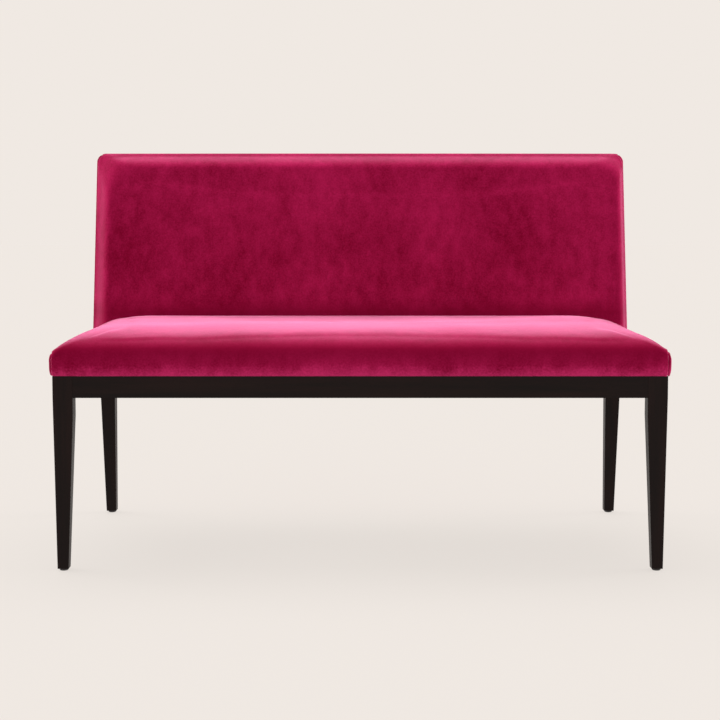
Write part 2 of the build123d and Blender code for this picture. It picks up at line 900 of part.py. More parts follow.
def make_outside_back():
    """Board, tacking strip and cover that close the back from behind."""
    board_top = outside_top - strip_height - strip_gap
    across = (-outside_half, outside_half)
    board = leaning_slab(post_rear, board_rear, (outside_bottom, board_top), across)
    strip = leaning_slab(post_rear, board_rear, (board_top + strip_gap, outside_top), across)
    cover = leaning_slab(board_rear, back_rear, (frame_height, outside_top - layer_gap), across)
    return board, strip, cover


def build_base():
    front_rail, rear_rail = make_front_rail(), make_rear_rail()
    left_rail, right_rail = both_sides(make_side_rail())
    support, cross = make_support_rail(), make_cross_rail()
    nodes = {}
    pins = []
    blocks = {}
    screws = []
    front_centre, rear_centre = foot_centres()
    legs = {
        "front": (make_front_leg, front_rail, front_centre, "leg"),
        "rear": (make_rear_post, rear_rail, rear_centre, "post"),
    }
    for end, (make_leg, cross_rail, centre, word) in legs.items():
        pin = make_glide_pin(centre)
        leg = make_leg([cross_rail, right_rail, pin])
        glide = make_glide(centre, pin)
        pins += both_sides(pin)
        for side, one_leg, one_glide in zip(("left", "right"), both_sides(leg), both_sides(glide)):
            nodes[f"{end}_{side}_{word}"] = one_leg
            nodes[f"{end}_{side}_glide"] = one_glide
    front_set, rear_set = block_screws()
    for end, corner, placed in (
        ("front", make_front_block(), front_set), ("rear", make_rear_block(), rear_set)
    ):
        for origin, direction in placed:
            screw = driven(wood_screw(screw_seat + screw_grip), origin, direction)
            access = driven(rod(screw_head_radius + access_clearance, overrun), origin, direction)
            corner = corner - access - screw
            screws += both_sides(screw)
        for side, one_block in zip(("left", "right"), both_sides(corner)):
            blocks[f"corner_block_{end}_{side}"] = one_block
    screw_group = group(screws)
    for name, rail in (
        ("front_rail", front_rail), ("rear_rail", rear_rail),
        ("left_side_rail", left_rail), ("right_side_rail", right_rail),
    ):
        nodes[name] = rail - screw_group
    nodes["seat_support_rail"] = support
    nodes["centre_cross_rail"] = cross
    nodes.update(blocks)
    nodes["corner_block_screws"] = screw_group
    nodes["glide_pins"] = group(pins)
    return nodes


def build_seat():
    nodes = make_seat_rails()
    dowels = make_seat_dowels()
    long_bands, cross_bands, staples = make_seat_webbing()
    for name in nodes:
        nodes[name] = nodes[name] - dowels - staples
    nodes["seat_frame_dowels"] = dowels
    nodes["seat_webbing_long"] = long_bands - staples
    nodes["seat_webbing_cross"] = cross_bands - staples
    nodes["seat_webbing_staples"] = staples
    nodes["seat_foam"] = make_seat_foam()
    nodes["seat_batting"] = make_seat_batting()
    main, left, right = make_seat_cover()
    nodes["seat_cover_main"] = main
    nodes["seat_boxing_left"] = left
    nodes["seat_boxing_right"] = right
    nodes["seat_dust_cover"] = make_dust_cover()
    return nodes


def fasten_seat(nodes):
    """Drives the seat's screws up through the corner blocks and the support rail."""
    places = deck_screw_places()
    screws = [deck_screw(origin) for origin in places]
    bored = (
        "corner_block_front_left", "corner_block_front_right", "seat_support_rail",
        "seat_dust_cover", "seat_cover_main", "seat_frame_front_rail", "seat_frame_rear_rail",
    )
    for name in bored:
        for screw in screws:
            nodes[name] = nodes[name] - screw
    for name in bored[:3]:
        for origin in places:
            nodes[name] = nodes[name] - deck_screw_access(origin)
    nodes["seat_fixing_screws"] = group(screws)


def build_back(nodes):
    rails = make_back_rails()
    dowels = make_back_dowels()
    across, upright, staples = make_back_webbing()
    for name in rails:
        nodes[name] = rails[name] - dowels - staples
    for name in ("rear_left_post", "rear_right_post"):
        nodes[name] = nodes[name] - dowels - staples
    nodes["back_rail_dowels"] = dowels
    nodes["back_webbing_across"] = across - staples
    nodes["back_webbing_upright"] = upright - staples
    nodes["back_webbing_staples"] = staples
    nodes["back_foam"] = make_back_foam()
    nodes["back_batting"] = make_back_batting()
    main, left, right = make_back_cover()
    nodes["back_cover_main"] = main
    nodes["back_boxing_left"] = left
    nodes["back_boxing_right"] = right
    board, strip, cover = make_outside_back()
    nodes["outside_back_board"] = board
    nodes["back_tacking_strip"] = strip
    nodes["outside_back_cover"] = cover


def middle_of_depth():
    seat_reach = seat_body(0, 0).bounding_box().min.Y
    back_reach = back_body(0, 0, 0).bounding_box().max.Y
    return (seat_reach + max(back_reach, rear_foot_front + rear_foot_depth)) / 2


nodes = build_base()
nodes.update(build_seat())
fasten_seat(nodes)
build_back(nodes)

os.makedirs("parts", exist_ok=True)
to_origin = Pos(0, -middle_of_depth(), 0)
for name, shape in nodes.items():
    solids = (to_origin * group([shape])).solids()
    export_step(solids[0] if len(solids) == 1 else Compound(solids), f"parts/{name}.step")
print(f"{len(nodes)} pieces, middle of the depth {middle_of_depth():.3f}")
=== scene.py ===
"""Looks of an upholstered dining settee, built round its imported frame. Lengths are metres."""
import logging
import math
from dataclasses import dataclass, field, replace
from enum import Enum
from typing import Callable, Iterable, Protocol, Sequence

import bpy
import numpy as np
from mathutils.kdtree import KDTree
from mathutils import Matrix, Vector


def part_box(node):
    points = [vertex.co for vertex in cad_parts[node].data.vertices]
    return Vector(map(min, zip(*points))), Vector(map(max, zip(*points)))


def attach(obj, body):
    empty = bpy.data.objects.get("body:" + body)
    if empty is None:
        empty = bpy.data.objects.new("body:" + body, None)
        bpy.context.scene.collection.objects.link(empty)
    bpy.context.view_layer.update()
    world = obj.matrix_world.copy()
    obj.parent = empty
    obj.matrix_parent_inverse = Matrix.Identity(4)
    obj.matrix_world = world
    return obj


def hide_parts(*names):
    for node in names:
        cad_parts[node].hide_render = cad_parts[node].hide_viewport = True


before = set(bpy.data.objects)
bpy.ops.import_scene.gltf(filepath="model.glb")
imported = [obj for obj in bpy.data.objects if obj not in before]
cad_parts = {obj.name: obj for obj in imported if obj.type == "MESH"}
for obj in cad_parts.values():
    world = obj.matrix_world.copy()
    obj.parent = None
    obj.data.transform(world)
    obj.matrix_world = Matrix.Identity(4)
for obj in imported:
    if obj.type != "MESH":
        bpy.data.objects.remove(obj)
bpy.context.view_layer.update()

LOG = logging.getLogger("settee")
BODY = "root"
MM = 0.001
WELD_WITHIN = 0.02 * MM
TINY = 1e-12
NOISE_RANGE = (0.3, 0.7)
RING_POINTS = (61, 31)
CORNER_STEPS = 8
Colour = tuple[float, float, float]
# Where the frame has the front legs' faces and the base's top
FRONT_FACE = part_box("front_left_leg")[0].y
BASE_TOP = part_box("front_rail")[1].z
# The back's face: its depth at the base's top, and how far it leans back for each metre up
BACK_FACE_FOOT = FRONT_FACE + 0.474
BACK_FACE_RATE = 0.1007 / 0.495


class Side(Enum):
    """The settee's two sides, as the sign of X."""

    LEFT = -1
    RIGHT = 1


class Grain(Enum):
    """The way the wood's grain runs, as a stretch of the texture along X, Y and Z."""

    ACROSS = (0.06, 1.0, 1.0)
    DEEP = (1.0, 0.06, 1.0)
    UPRIGHT = (1.0, 1.0, 0.06)


# Numbers and meshes


def smooth_step(value: np.ndarray) -> np.ndarray:
    """Eases values from 0 to 1.

    Args:
        value: numbers, held to the range 0 to 1.

    Returns:
        The eased numbers.
    """
    held = np.clip(value, 0.0, 1.0)
    return held * held * (3 - 2 * held)


def rising(value: np.ndarray, start: float, width: float) -> np.ndarray:
    """Eases from 0 at a start to 1 a width further on."""
    return smooth_step((value - start) / width)


def rolled(share: np.ndarray, power: float = 2.0) -> np.ndarray:
    """How far in a rolled edge lies.

    Args:
        share: 0 where the roll starts, 1 at its end.
        power: 2 is a quarter round, less is nearer to a chamfer, more is fuller.

    Returns:
        From 0 to 1.
    """
    held = np.clip(share, 0.0, 1.0)
    return 1 - (1 - held**power) ** (1 / power)


def graded(length: float, fine: float, coarse: float, growth: float = 1.35) -> np.ndarray:
    """Places along a length, close together at both ends.

    Args:
        length: distance from the first place to the last.
        fine: first and last step.
        coarse: longest step, in the middle.
        growth: each step over the one before it, near the ends.

    Returns:
        The places, from 0 to length.
    """
    steps = []
    step, total = fine, 0.0
    while step < coarse and 2 * (total + step) < length:
        steps.append(step)
        total += step
        step *= growth
    middle = length - 2 * total
    count = max(1, math.ceil(middle / coarse))
    every = steps + [middle / count] * count + steps[::-1]
    return np.concatenate([[0.0], np.cumsum(every)])


def resampled(line: np.ndarray, shares: np.ndarray) -> np.ndarray:
    """Points at shares of a line's length.

    Args:
        line: points along the line.
        shares: from 0 to 1.

    Returns:
        The points.
    """
    step = np.linalg.norm(np.diff(line, axis=0), axis=1)
    length = np.concatenate([[0.0], np.cumsum(step)])
    wanted = shares * length[-1]
    return np.stack([np.interp(wanted, length, line[:, axis]) for axis in range(3)], axis=1)


def ripple(along: np.ndarray, lengths: Sequence[float], seed: float) -> np.ndarray:
    """Uneven waves, always the same for the same seed.

    Args:
        along: distances along a line.
        lengths: the wave lengths that are mixed.
        seed: shifts the waves.

    Returns:
        Heights from about -1 to 1.
    """
    total = np.zeros_like(along)
    for number, wave in enumerate(lengths):
        total += np.sin(2 * math.pi * along / wave + seed * (number + 1) * 2.4)
    return total / len(lengths)


def grid_normals(grid: np.ndarray) -> np.ndarray:
    """Unit normals of a grid of points.

    Args:
        grid: rows by columns by 3.

    Returns:
        One normal for each point, along rows crossed with columns.
    """
    along = np.gradient(grid, axis=0)
    across = np.gradient(grid, axis=1)
    normal = np.cross(across, along)
    size = np.linalg.norm(normal, axis=2, keepdims=True)
    return normal / np.maximum(size, TINY)


def edge_distance(grid: np.ndarray) -> np.ndarray:
    """Distance along the cloth from a panel's nearest edge.

    Args:
        grid: rows by columns by 3.

    Returns:
        One distance for each point.
    """
    nearest = []
    for axis in (0, 1):
        step = np.linalg.norm(np.diff(grid, axis=axis), axis=2)
        along = np.concatenate([0 * step.take([0], axis), np.cumsum(step, axis=axis)], axis=axis)
        nearest.append(np.minimum(along, along.take([-1], axis) - along))
    return np.minimum(*nearest)


def softened(field_values: np.ndarray, passes: int) -> np.ndarray:
    """A field smoothed over its grid, with its edges held.

    Args:
        field_values: rows by columns by anything.
        passes: how many times each point is averaged with its neighbours.

    Returns:
        The smoothed field.
    """
    out = field_values.copy()
    for _ in range(passes):
        inner = out[1:-1, 1:-1]
        around = out[:-2, 1:-1] + out[2:, 1:-1] + out[1:-1, :-2] + out[1:-1, 2:]
        out[1:-1, 1:-1] = 0.5 * inner + 0.125 * around
    return out


def new_object(name: str, points: np.ndarray, faces: list[tuple[int, ...]]) -> bpy.types.Object:
    """A smooth-shaded mesh object in the scene.

    Args:
        name: the piece's name.
        points: its vertices.
        faces: vertex numbers of each face.

    Returns:
        The new object.
    """
    mesh = bpy.data.meshes.new(name)
    mesh.from_pydata(points.tolist(), [], faces)
    mesh.validate()
    mesh.shade_smooth()
    made = bpy.data.objects.new(name, mesh)
    bpy.context.scene.collection.objects.link(made)
    return made


def tree_of(points: np.ndarray) -> KDTree:
    """Makes points quick to find by place.

    Args:
        points: one row for each point.

    Returns:
        The tree, whose numbers are the rows'.
    """
    tree = KDTree(len(points))
    for number, point in enumerate(points):
        tree.insert(point, number)
    tree.balance()
    return tree


def apply_modifiers(made: bpy.types.Object) -> None:
    """Gives an object the mesh that its modifiers make, and takes them off.

    Args:
        made: an object with modifiers.
    """
    graph = bpy.context.evaluated_depsgraph_get()
    graph.update()
    final = bpy.data.meshes.new_from_object(made.evaluated_get(graph))
    old = made.data
    made.modifiers.clear()
    made.data = final
    bpy.data.meshes.remove(old)


def thicken(made: bpy.types.Object, thickness: float) -> None:
    """Makes a sheet a closed thin shell.

    Args:
        made: the sheet.
        thickness: laid on behind its face.
    """
    shell = made.modifiers.new("thickness", "SOLIDIFY")
    shell.thickness = thickness
    shell.offset = -1.0
    apply_modifiers(made)


def grid_faces(rows: int, columns: int) -> list[tuple[int, ...]]:
    """The four-cornered faces of a grid of points, row by row."""
    starts = [row * columns + column for row in range(rows - 1) for column in range(columns - 1)]
    return [(start, start + 1, start + columns + 1, start + columns) for start in starts]


def panel_object(name: str, grid: np.ndarray, thickness: float) -> bpy.types.Object:
    """A panel of cloth from a grid of points on its outer face.

    Args:
        name: the piece's name.
        grid: rows by columns by 3, whose normals point out.
        thickness: of the cloth, laid on inside.

    Returns:
        The panel, as a closed thin shell.
    """
    made = new_object(name, grid.reshape(-1, 3), grid_faces(*grid.shape[:2]))
    made.modifiers.new("weld", "WELD").merge_threshold = WELD_WITHIN
    thicken(made, thickness)
    made.data.shade_smooth()
    return made


def corner_points(x: float, y: float, radius: float, start: float) -> list[tuple[float, float]]:
    """A quarter round, without its first point.

    Args:
        x: its centre across.
        y: its centre's depth.
        radius: of the round.
        start: the angle where it starts, in degrees.

    Returns:
        Points along it.
    """
    turns = np.radians(np.linspace(start, start + 90, CORNER_STEPS + 1)[1:])
    return [(x + radius * math.cos(turn), y + radius * math.sin(turn)) for turn in turns]


def ring_points(
    half: float, front: float, rear: float, height: float, radius: float, bow: float
) -> np.ndarray:
    """A rounded rectangle seen from above, as a ring of points.

    Args:
        half: half of its width.
        front: depth of its front edge.
        rear: depth of its rear edge at the sides.
        height: of the whole ring.
        radius: of its corners.
        bow: how far the rear edge's middle stands forward of its ends.

    Returns:
        The ring, the same number of points whatever its size.
    """
    across, along = np.linspace(-1, 1, RING_POINTS[0]), np.linspace(0, 1, RING_POINTS[1])
    flat = half - radius
    near, far = front + radius, rear - radius
    points = [(share * flat, front) for share in across]
    points += corner_points(flat, near, radius, -90)
    points += [(half, near + share * (far - near)) for share in along[1:]]
    points += corner_points(flat, far, radius, 0)
    points += [(share * flat, rear - bow * (1 - share * share)) for share in across[-2::-1]]
    points += corner_points(-flat, far, radius, 90)
    points += [(-half, near + share * (far - near)) for share in along[-2::-1]]
    points += corner_points(-flat, near, radius, 180)[:-1]
    return np.array([(x, y, height) for x, y in points])


def ringed_body(name: str, rings: list[np.ndarray]) -> bpy.types.Object:
    """A closed solid from a stack of rings, each with as many points.

    Args:
        name: the piece's name.
        rings: from the lowest to the highest, or round a shell and back.

    Returns:
        The solid, closed at both ends by a flat face.
    """
    count = len(rings[0])
    last = (len(rings) - 1) * count
    faces: list[tuple[int, ...]] = [tuple(range(count))[::-1]]
    for low in range(0, last, count):
        for number in range(count):
            after = low + (number + 1) % count
            faces.append((low + number, after, after + count, low + number + count))
    faces.append(tuple(range(last, last + count)))
    return new_object(name, np.concatenate(rings), faces)


# Finishes


class ShaderGraph:
    """A material's nodes, with short ways to add to them."""

    def __init__(self, name: str) -> None:
        """Starts a material with one main shader.

        Args:
            name: the material's name.
        """
        self.material = bpy.data.materials.new(name)
        self.material.use_nodes = True
        self.tree = self.material.node_tree
        self.shader = self.tree.nodes["Principled BSDF"]
        self.place = self.add("ShaderNodeTexCoord").outputs["Object"]

    def add(
        self, kind: str, inputs: dict[str | int, object] | None = None, **settings: object
    ) -> bpy.types.Node:
        """Adds a node.

        Args:
            kind: the node's type.
            inputs: what its inputs get, by name or number.
            settings: names and values of its properties.

        Returns:
            The node.
        """
        made = self.tree.nodes.new(kind)
        for name, value in settings.items():
            setattr(made, name, value)
        for name, value in (inputs or {}).items():
            self.feed(made.inputs[name], value)
        return made

    def feed(self, target: bpy.types.NodeSocket, value: object) -> None:
        """Gives an input what it needs.

        Args:
            target: the input.
            value: a socket to follow, a linear colour, a vector or a number.
        """
        if isinstance(value, bpy.types.NodeSocket):
            self.tree.links.new(value, target)
        else:
            target.default_value = (*value, 1.0) if target.type == "RGBA" else value

    def set(self, **values: object) -> None:
        """Sets the main shader's own sockets, named with _ for each space."""
        for name, value in values.items():
            self.feed(self.shader.inputs[name.replace("_", " ")], value)

    def stretched(
        self, stretch: Sequence[float], turn: Sequence[float] = (0, 0, 0)
    ) -> bpy.types.NodeSocket:
        """The place on the object, stretched and turned for a texture.

        Args:
            stretch: scale along X, Y and Z.
            turn: degrees about X, Y and Z.

        Returns:
            A vector socket.
        """
        rotation = [math.radians(angle) for angle in turn]
        inputs = {"Vector": self.place, "Scale": stretch, "Rotation": rotation}
        return self.add("ShaderNodeMapping", inputs).outputs["Vector"]

    def noise(
        self, scale: float, detail: float = 2.0, place: bpy.types.NodeSocket | None = None
    ) -> bpy.types.NodeSocket:
        """Cloudy noise.

        Args:
            scale: cells in a metre.
            detail: octaves.
            place: where it is read, or the plain place on the object.

        Returns:
            The noise's value, from 0 to 1.
        """
        inputs = {"Vector": place or self.place, "Scale": scale, "Detail": detail}
        return self.add("ShaderNodeTexNoise", inputs).outputs["Fac"]

    def maths(self, kind: str, *values: object) -> bpy.types.NodeSocket:
        """One step of arithmetic on sockets and numbers.

        Args:
            kind: the operation.
            values: sockets or numbers.

        Returns:
            The result's socket.
        """
        return self.add("ShaderNodeMath", dict(enumerate(values)), operation=kind).outputs[0]

    def weighted(self, *parts: tuple[bpy.types.NodeSocket, float]) -> bpy.types.NodeSocket:
        """A weighted sum.

        Args:
            parts: sockets, each with its weight.

        Returns:
            The sum's socket.
        """
        total: object = 0.0
        for value, weight in parts:
            total = self.maths("MULTIPLY_ADD", value, weight, total)
        return total

    def spread(
        self, value: bpy.types.NodeSocket, low: float, high: float, to_low: float, to_high: float
    ) -> bpy.types.NodeSocket:
        """Moves a value from one range to another.

        Args:
            value: what is moved.
            low: start of its range.
            high: end of its range.
            to_low: start of the new range.
            to_high: end of the new range.

        Returns:
            The new value, held to its range.
        """
        inputs = {"Value": value, "From Min": low, "From Max": high, "To Min": to_low, "To Max": to_high}
        return self.add("ShaderNodeMapRange", inputs).outputs["Result"]

    def ramp(
        self, value: bpy.types.NodeSocket, low: tuple[float, Colour], high: tuple[float, Colour]
    ) -> bpy.types.NodeSocket:
        """A colour between two for each value.

        Args:
            value: from 0 to 1.
            low: the value up to which the first colour lasts, and that linear colour.
            high: the value from which the second colour holds, and that linear colour.

        Returns:
            The colour's socket.
        """
        made = self.add("ShaderNodeValToRGB", {"Fac": value})
        for element, (place, colour) in zip(made.color_ramp.elements, (low, high)):
            element.position = place
            element.color = (*colour, 1.0)
        return made.outputs["Color"]

    def mixed(
        self, share: bpy.types.NodeSocket, first: bpy.types.NodeSocket, second: Colour
    ) -> bpy.types.NodeSocket:
        """A colour mixed with a plain one.

        Args:
            share: of the second.
            first: the colour that varies.
            second: the plain colour, linear.

        Returns:
            The colour's socket.
        """
        inputs = {0: share, 6: first, 7: second}
        return self.add("ShaderNodeMix", inputs, data_type="RGBA").outputs[2]

    def bump(
        self,
        height: bpy.types.NodeSocket,
        strength: float,
        distance: float,
        under: bpy.types.NodeSocket | None = None,
    ) -> bpy.types.NodeSocket:
        """A bumped normal.

        Args:
            height: from 0 to 1.
            strength: of the bump.
            distance: real height between 0 and 1.
            under: a bump that this one lies on.

        Returns:
            The normal's socket.
        """
        inputs = {"Height": height, "Strength": strength, "Distance": distance}
        if under is not None:
            inputs["Normal"] = under
        return self.add("ShaderNodeBump", inputs).outputs["Normal"]

    def finish(
        self,
        colour: bpy.types.NodeSocket,
        roughness: bpy.types.NodeSocket | None = None,
        normal: bpy.types.NodeSocket | None = None,
    ) -> bpy.types.Material:
        """Links what varies over the surface to the main shader.

        Args:
            colour: the base colour.
            roughness: the roughness, if it varies.
            normal: the bumped normal, if there is one.

        Returns:
            The material.
        """
        for name, socket in (("Base Color", colour), ("Roughness", roughness), ("Normal", normal)):
            if socket is not None:
                self.feed(self.shader.inputs[name], socket)
        return self.material


class Finish(Protocol):
    """What every finish has: the slot that it fills, and the material that it makes."""

    slot: str

    def build(self) -> bpy.types.Material:
        """Makes the material."""


@dataclass(frozen=True)
class VelvetFinish:
    """Short-pile velvet: deep where it is seen straight on, pale where it is seen along the pile.

    Just above the base it has a painted highlight: a paler colour that stands in for sheen and floor light on
    the tucked edge.
    Higher up, a band of painted shade darkens it towards its deep colour.
    """

    slot: str = "raspberry_velvet"
    deep: Colour = (0.192, 0.0012, 0.0225)
    lit: Colour = (0.395, 0.0092, 0.074)
    # The next three give a painted highlight low down: its pale colour, how high it reaches, and how strong
    # it is.
    painted_highlight: Colour = (0.60, 0.030, 0.150)
    painted_highlight_height: float = 26.0 * MM
    painted_highlight_share: float = 0.8
    # The next three give a band of painted shade: how dark it is, at what height over the base, and how far
    # it reaches.
    painted_shade: float = 0.85
    painted_shade_at: float = 60.0 * MM
    painted_shade_reach: float = 40.0 * MM
    sheen: float = 0.80
    sheen_tint: Colour = (1.0, 0.35, 0.60)
    sheen_roughness: float = 0.35

    def build(self) -> bpy.types.Material:
        """Broad marks, blotches, the pile itself, a painted highlight at the foot and a band of painted
        shade.

        Returns:
            The material.
        """
        graph = ShaderGraph("raspberry_velvet")
        marks = graph.noise(4.2, 3.0)
        blotches = graph.noise(42.0, 3.0, graph.stretched((1.0, 1.0, 0.6), (0, 28, 0)))
        grain = graph.noise(240.0, 3.0)
        pile = graph.noise(900.0, 2.0)
        value = graph.weighted((marks, 0.34), (blotches, 0.24), (grain, 0.26), (pile, 0.16))
        colour = graph.ramp(value, (0.38, self.deep), (0.62, self.lit))
        height = graph.add("ShaderNodeSeparateXYZ", {0: graph.place}).outputs[2]
        over = graph.maths("SUBTRACT", height, BASE_TOP)
        # Painted shade: a band at a set height over the base is mixed towards the deep colour.
        off = graph.maths("ABSOLUTE", graph.maths("SUBTRACT", over, self.painted_shade_at))
        painted_shade = graph.spread(off, 0.0, self.painted_shade_reach, self.painted_shade, 0.0)
        colour = graph.mixed(painted_shade, colour, self.deep)
        # Painted highlight: a paler colour towards the base, with a ragged upper edge.
        ragged = graph.maths("MULTIPLY_ADD", value, 3.0 * self.painted_highlight_height, -1.5 * self.painted_highlight_height)
        low = graph.spread(graph.maths("SUBTRACT", over, ragged), 0.0, self.painted_highlight_height, 1.0, 0.0)
        share = graph.maths("MULTIPLY", graph.maths("POWER", low, 1.6), self.painted_highlight_share)
        colour = graph.mixed(share, colour, self.painted_highlight)
        brushed = graph.bump(blotches, 0.30, 1.2 * MM)
        woven = graph.bump(grain, 0.35, 0.4 * MM, brushed)
        normal = graph.bump(pile, 0.30, 0.25 * MM, woven)
        graph.set(
            Roughness=1.0,
            Specular_IOR_Level=0.0,
            Sheen_Weight=self.sheen,
            Sheen_Roughness=self.sheen_roughness,
            Sheen_Tint=self.sheen_tint,
        )
        return graph.finish(colour, normal=normal)


@dataclass(frozen=True)
class LacqueredWoodFinish:
    """Near-black stained wood under a satin lacquer, with its grain just showing."""

    grain: Grain
    slot: str = "espresso_wood"
    dark: Colour = (0.0046, 0.0018, 0.0015)
    pale: Colour = (0.0118, 0.0042, 0.0034)

    def build(self) -> bpy.types.Material:
        """Long grain with open pores, under a gloss that varies a little.

        Returns:
            The material.
        """
        graph = ShaderGraph("espresso_wood_" + self.grain.name.lower())
        along = graph.stretched(self.grain.value)
        figure = graph.noise(55.0, 4.0, along)
        pores = graph.noise(900.0, 2.0, along)
        value = graph.weighted((pores, 0.3), (figure, 0.7))
        colour = graph.ramp(value, (0.35, self.dark), (0.65, self.pale))
        rough = graph.spread(figure, *NOISE_RANGE, 0.38, 0.50)
        normal = graph.bump(pores, 0.25, 0.12 * MM)
        graph.set(Specular_IOR_Level=0.13, Coat_Weight=0.02, Coat_Roughness=0.3)
        return graph.finish(colour, rough, normal)


@dataclass(frozen=True)
class SawnWoodFinish:
    """Unfinished pale hardwood, as it is used inside."""

    grain: Grain
    slot: str = "frame_hardwood"
    dark: Colour = (0.36, 0.235, 0.125)
    pale: Colour = (0.56, 0.41, 0.26)

    def build(self) -> bpy.types.Material:
        """Growth rings and rough flecks.

        Returns:
            The material.
        """
        graph = ShaderGraph("frame_hardwood_" + self.grain.name.lower())
        along = graph.stretched(self.grain.value)
        rings = graph.noise(38.0, 5.0, along)
        flecks = graph.noise(700.0, 2.0, along)
        value = graph.weighted((flecks, 0.25), (rings, 0.75))
        colour = graph.ramp(value, (0.32, self.dark), (0.66, self.pale))
        rough = graph.spread(flecks, *NOISE_RANGE, 0.62, 0.8)
        normal = graph.bump(flecks, 0.4, 0.25 * MM)
        graph.set(Specular_IOR_Level=0.3)
        return graph.finish(colour, rough, normal)


@dataclass(frozen=True)
class MottledFinish:
    """A plain stuff with a fine mottle, such as foam, wadding, board, card or moulded plastic."""

    slot: str
    dark: Colour
    pale: Colour
    cells: float
    roughness: tuple[float, float] = (0.8, 0.95)
    relief: float = 0.3 * MM
    specular: float = 0.2

    def build(self) -> bpy.types.Material:
        """Broad blotches, fine cells, and the cells' relief.

        Returns:
            The material.
        """
        graph = ShaderGraph(self.slot)
        blotches = graph.noise(self.cells / 12, 3.0)
        cells = graph.noise(self.cells, 3.0)
        value = graph.weighted((cells, 0.6), (blotches, 0.4))
        colour = graph.ramp(value, (0.35, self.dark), (0.65, self.pale))
        rough = graph.spread(cells, *NOISE_RANGE, *self.roughness)
        normal = graph.bump(cells, 0.5, self.relief)
        graph.set(Specular_IOR_Level=self.specular)
        return graph.finish(colour, rough, normal)


@dataclass(frozen=True)
class WebbingFinish:
    """Woven jute bands: warp and weft crossing, with uneven yarns."""

    slot: str = "jute_webbing"
    dark: Colour = (0.24, 0.155, 0.075)
    pale: Colour = (0.55, 0.41, 0.25)
    yarn: float = 2.2 * MM

    def build(self) -> bpy.types.Material:
        """Two sets of yarns, one across the other.

        Returns:
            The material.
        """
        graph = ShaderGraph("jute_webbing")
        inputs = {"Vector": graph.place, "Scale": 1 / (self.yarn * 6), "Distortion": 0.6, "Detail Scale": 2.0}
        sets = [
            graph.add("ShaderNodeTexWave", inputs, bands_direction=direction).outputs["Fac"]
            for direction in ("X", "DIAGONAL")
        ]
        weave = graph.maths("MULTIPLY", *sets)
        uneven = graph.noise(260.0, 3.0)
        value = graph.weighted((uneven, 0.5), (weave, 0.6))
        colour = graph.ramp(value, (0.15, self.dark), (0.75, self.pale))
        rough = graph.spread(uneven, *NOISE_RANGE, 0.8, 0.95)
        normal = graph.bump(value, 0.6, 0.5 * MM)
        graph.set(Specular_IOR_Level=0.2, Sheen_Weight=0.15)
        return graph.finish(colour, rough, normal)


@dataclass(frozen=True)
class PlatedSteelFinish:
    """Zinc-plated steel, dulled and finely scratched."""

    slot: str = "zinc_steel"
    dark: Colour = (0.44, 0.44, 0.43)
    pale: Colour = (0.68, 0.68, 0.66)

    def build(self) -> bpy.types.Material:
        """Dull spangles and fine scratches.

        Returns:
            The material.
        """
        graph = ShaderGraph("zinc_steel")
        spangle = graph.noise(450.0, 2.0)
        scratch = graph.noise(2600.0, 2.0, graph.stretched((1.0, 0.1, 1.0), (0, 0, 35)))
        colour = graph.ramp(spangle, (0.35, self.dark), (0.65, self.pale))
        rough = graph.spread(scratch, *NOISE_RANGE, 0.28, 0.48)
        normal = graph.bump(scratch, 0.2, 0.05 * MM)
        graph.set(Metallic=1.0)
        return graph.finish(colour, rough, normal)


@dataclass
class Workshop:
    """Keeps each finish once made, and dresses pieces with it."""

    made: dict[str, bpy.types.Material] = field(default_factory=dict)

    def dress(self, piece: bpy.types.Object, finish: Finish) -> None:
        """Gives a piece its finish.

        Args:
            piece: a mesh object.
            finish: one of the finish classes.
        """
        key = repr(finish)
        if key not in self.made:
            self.made[key] = finish.build()
        piece.data.materials.clear()
        piece.data.materials.append(self.made[key])

    def settle(self, piece: bpy.types.Object, finish: Finish, nodes: Sequence[str]) -> None:
        """Dresses a new piece, lets it ride with the frame and stand for its solids.

        Args:
            piece: a mesh object.
            finish: one of the finish classes.
            nodes: the frame's nodes that it stands for.
        """
        self.dress(piece, finish)
        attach(piece, BODY)
        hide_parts(*nodes)
        LOG.info("%s: %d faces", piece.name, len(piece.data.polygons))


# The seat has a painted highlight at its foot and a band of painted shade on its front; the back has only
# painted shade just above the seat, where the seat shades it; its sides and rear have neither
SEAT_VELVET = VelvetFinish()
BACK_VELVET = VelvetFinish(painted_highlight_share=0.0, painted_shade=0.70, painted_shade_at=104.0 * MM, painted_shade_reach=36.0 * MM)
PLAIN_VELVET = VelvetFinish(painted_highlight_share=0.0, painted_shade=0.0)
FOAM = MottledFinish("upholstery_foam", (0.62, 0.53, 0.34), (0.86, 0.79, 0.58), 900.0)
WADDING = MottledFinish("polyester_batting", (0.70, 0.70, 0.68), (0.90, 0.90, 0.88), 350.0)
CAMBRIC = MottledFinish(
    "black_cambric", (0.010, 0.010, 0.011), (0.028, 0.028, 0.029), 1300.0, relief=0.12 * MM
)
BOARD = MottledFinish("back_panel_board", (0.27, 0.18, 0.10), (0.46, 0.34, 0.21), 500.0)
CARD = MottledFinish("tacking_card", (0.58, 0.50, 0.37), (0.74, 0.66, 0.52), 300.0)
NYLON = MottledFinish(
    "glide_nylon", (0.030, 0.028, 0.028), (0.060, 0.055, 0.055), 1500.0,
    roughness=(0.4, 0.55), relief=0.04 * MM, specular=0.4,
)


# Stuffing, seams and layers


def blended(tree: KDTree, values: np.ndarray, grid: np.ndarray, nearest: int) -> np.ndarray:
    """Reads values that are kept at scattered points.

    Args:
        tree: finds the scattered points.
        values: one row for each of them.
        grid: rows by columns by 3, where the values are wanted.
        nearest: how many points are blended, the closer ones more.

    Returns:
        A value for each place of the grid.
    """
    found = np.zeros(grid.shape[:2] + values.shape[1:])
    for place in np.ndindex(grid.shape[:2]):
        close = tree.find_n(grid[place], nearest)
        weights = np.array([1.0 / (distance + 0.5 * MM) for _, _, distance in close])
        numbers = [number for _, number, _ in close]
        found[place] = weights @ values[numbers] / weights.sum()
    return found


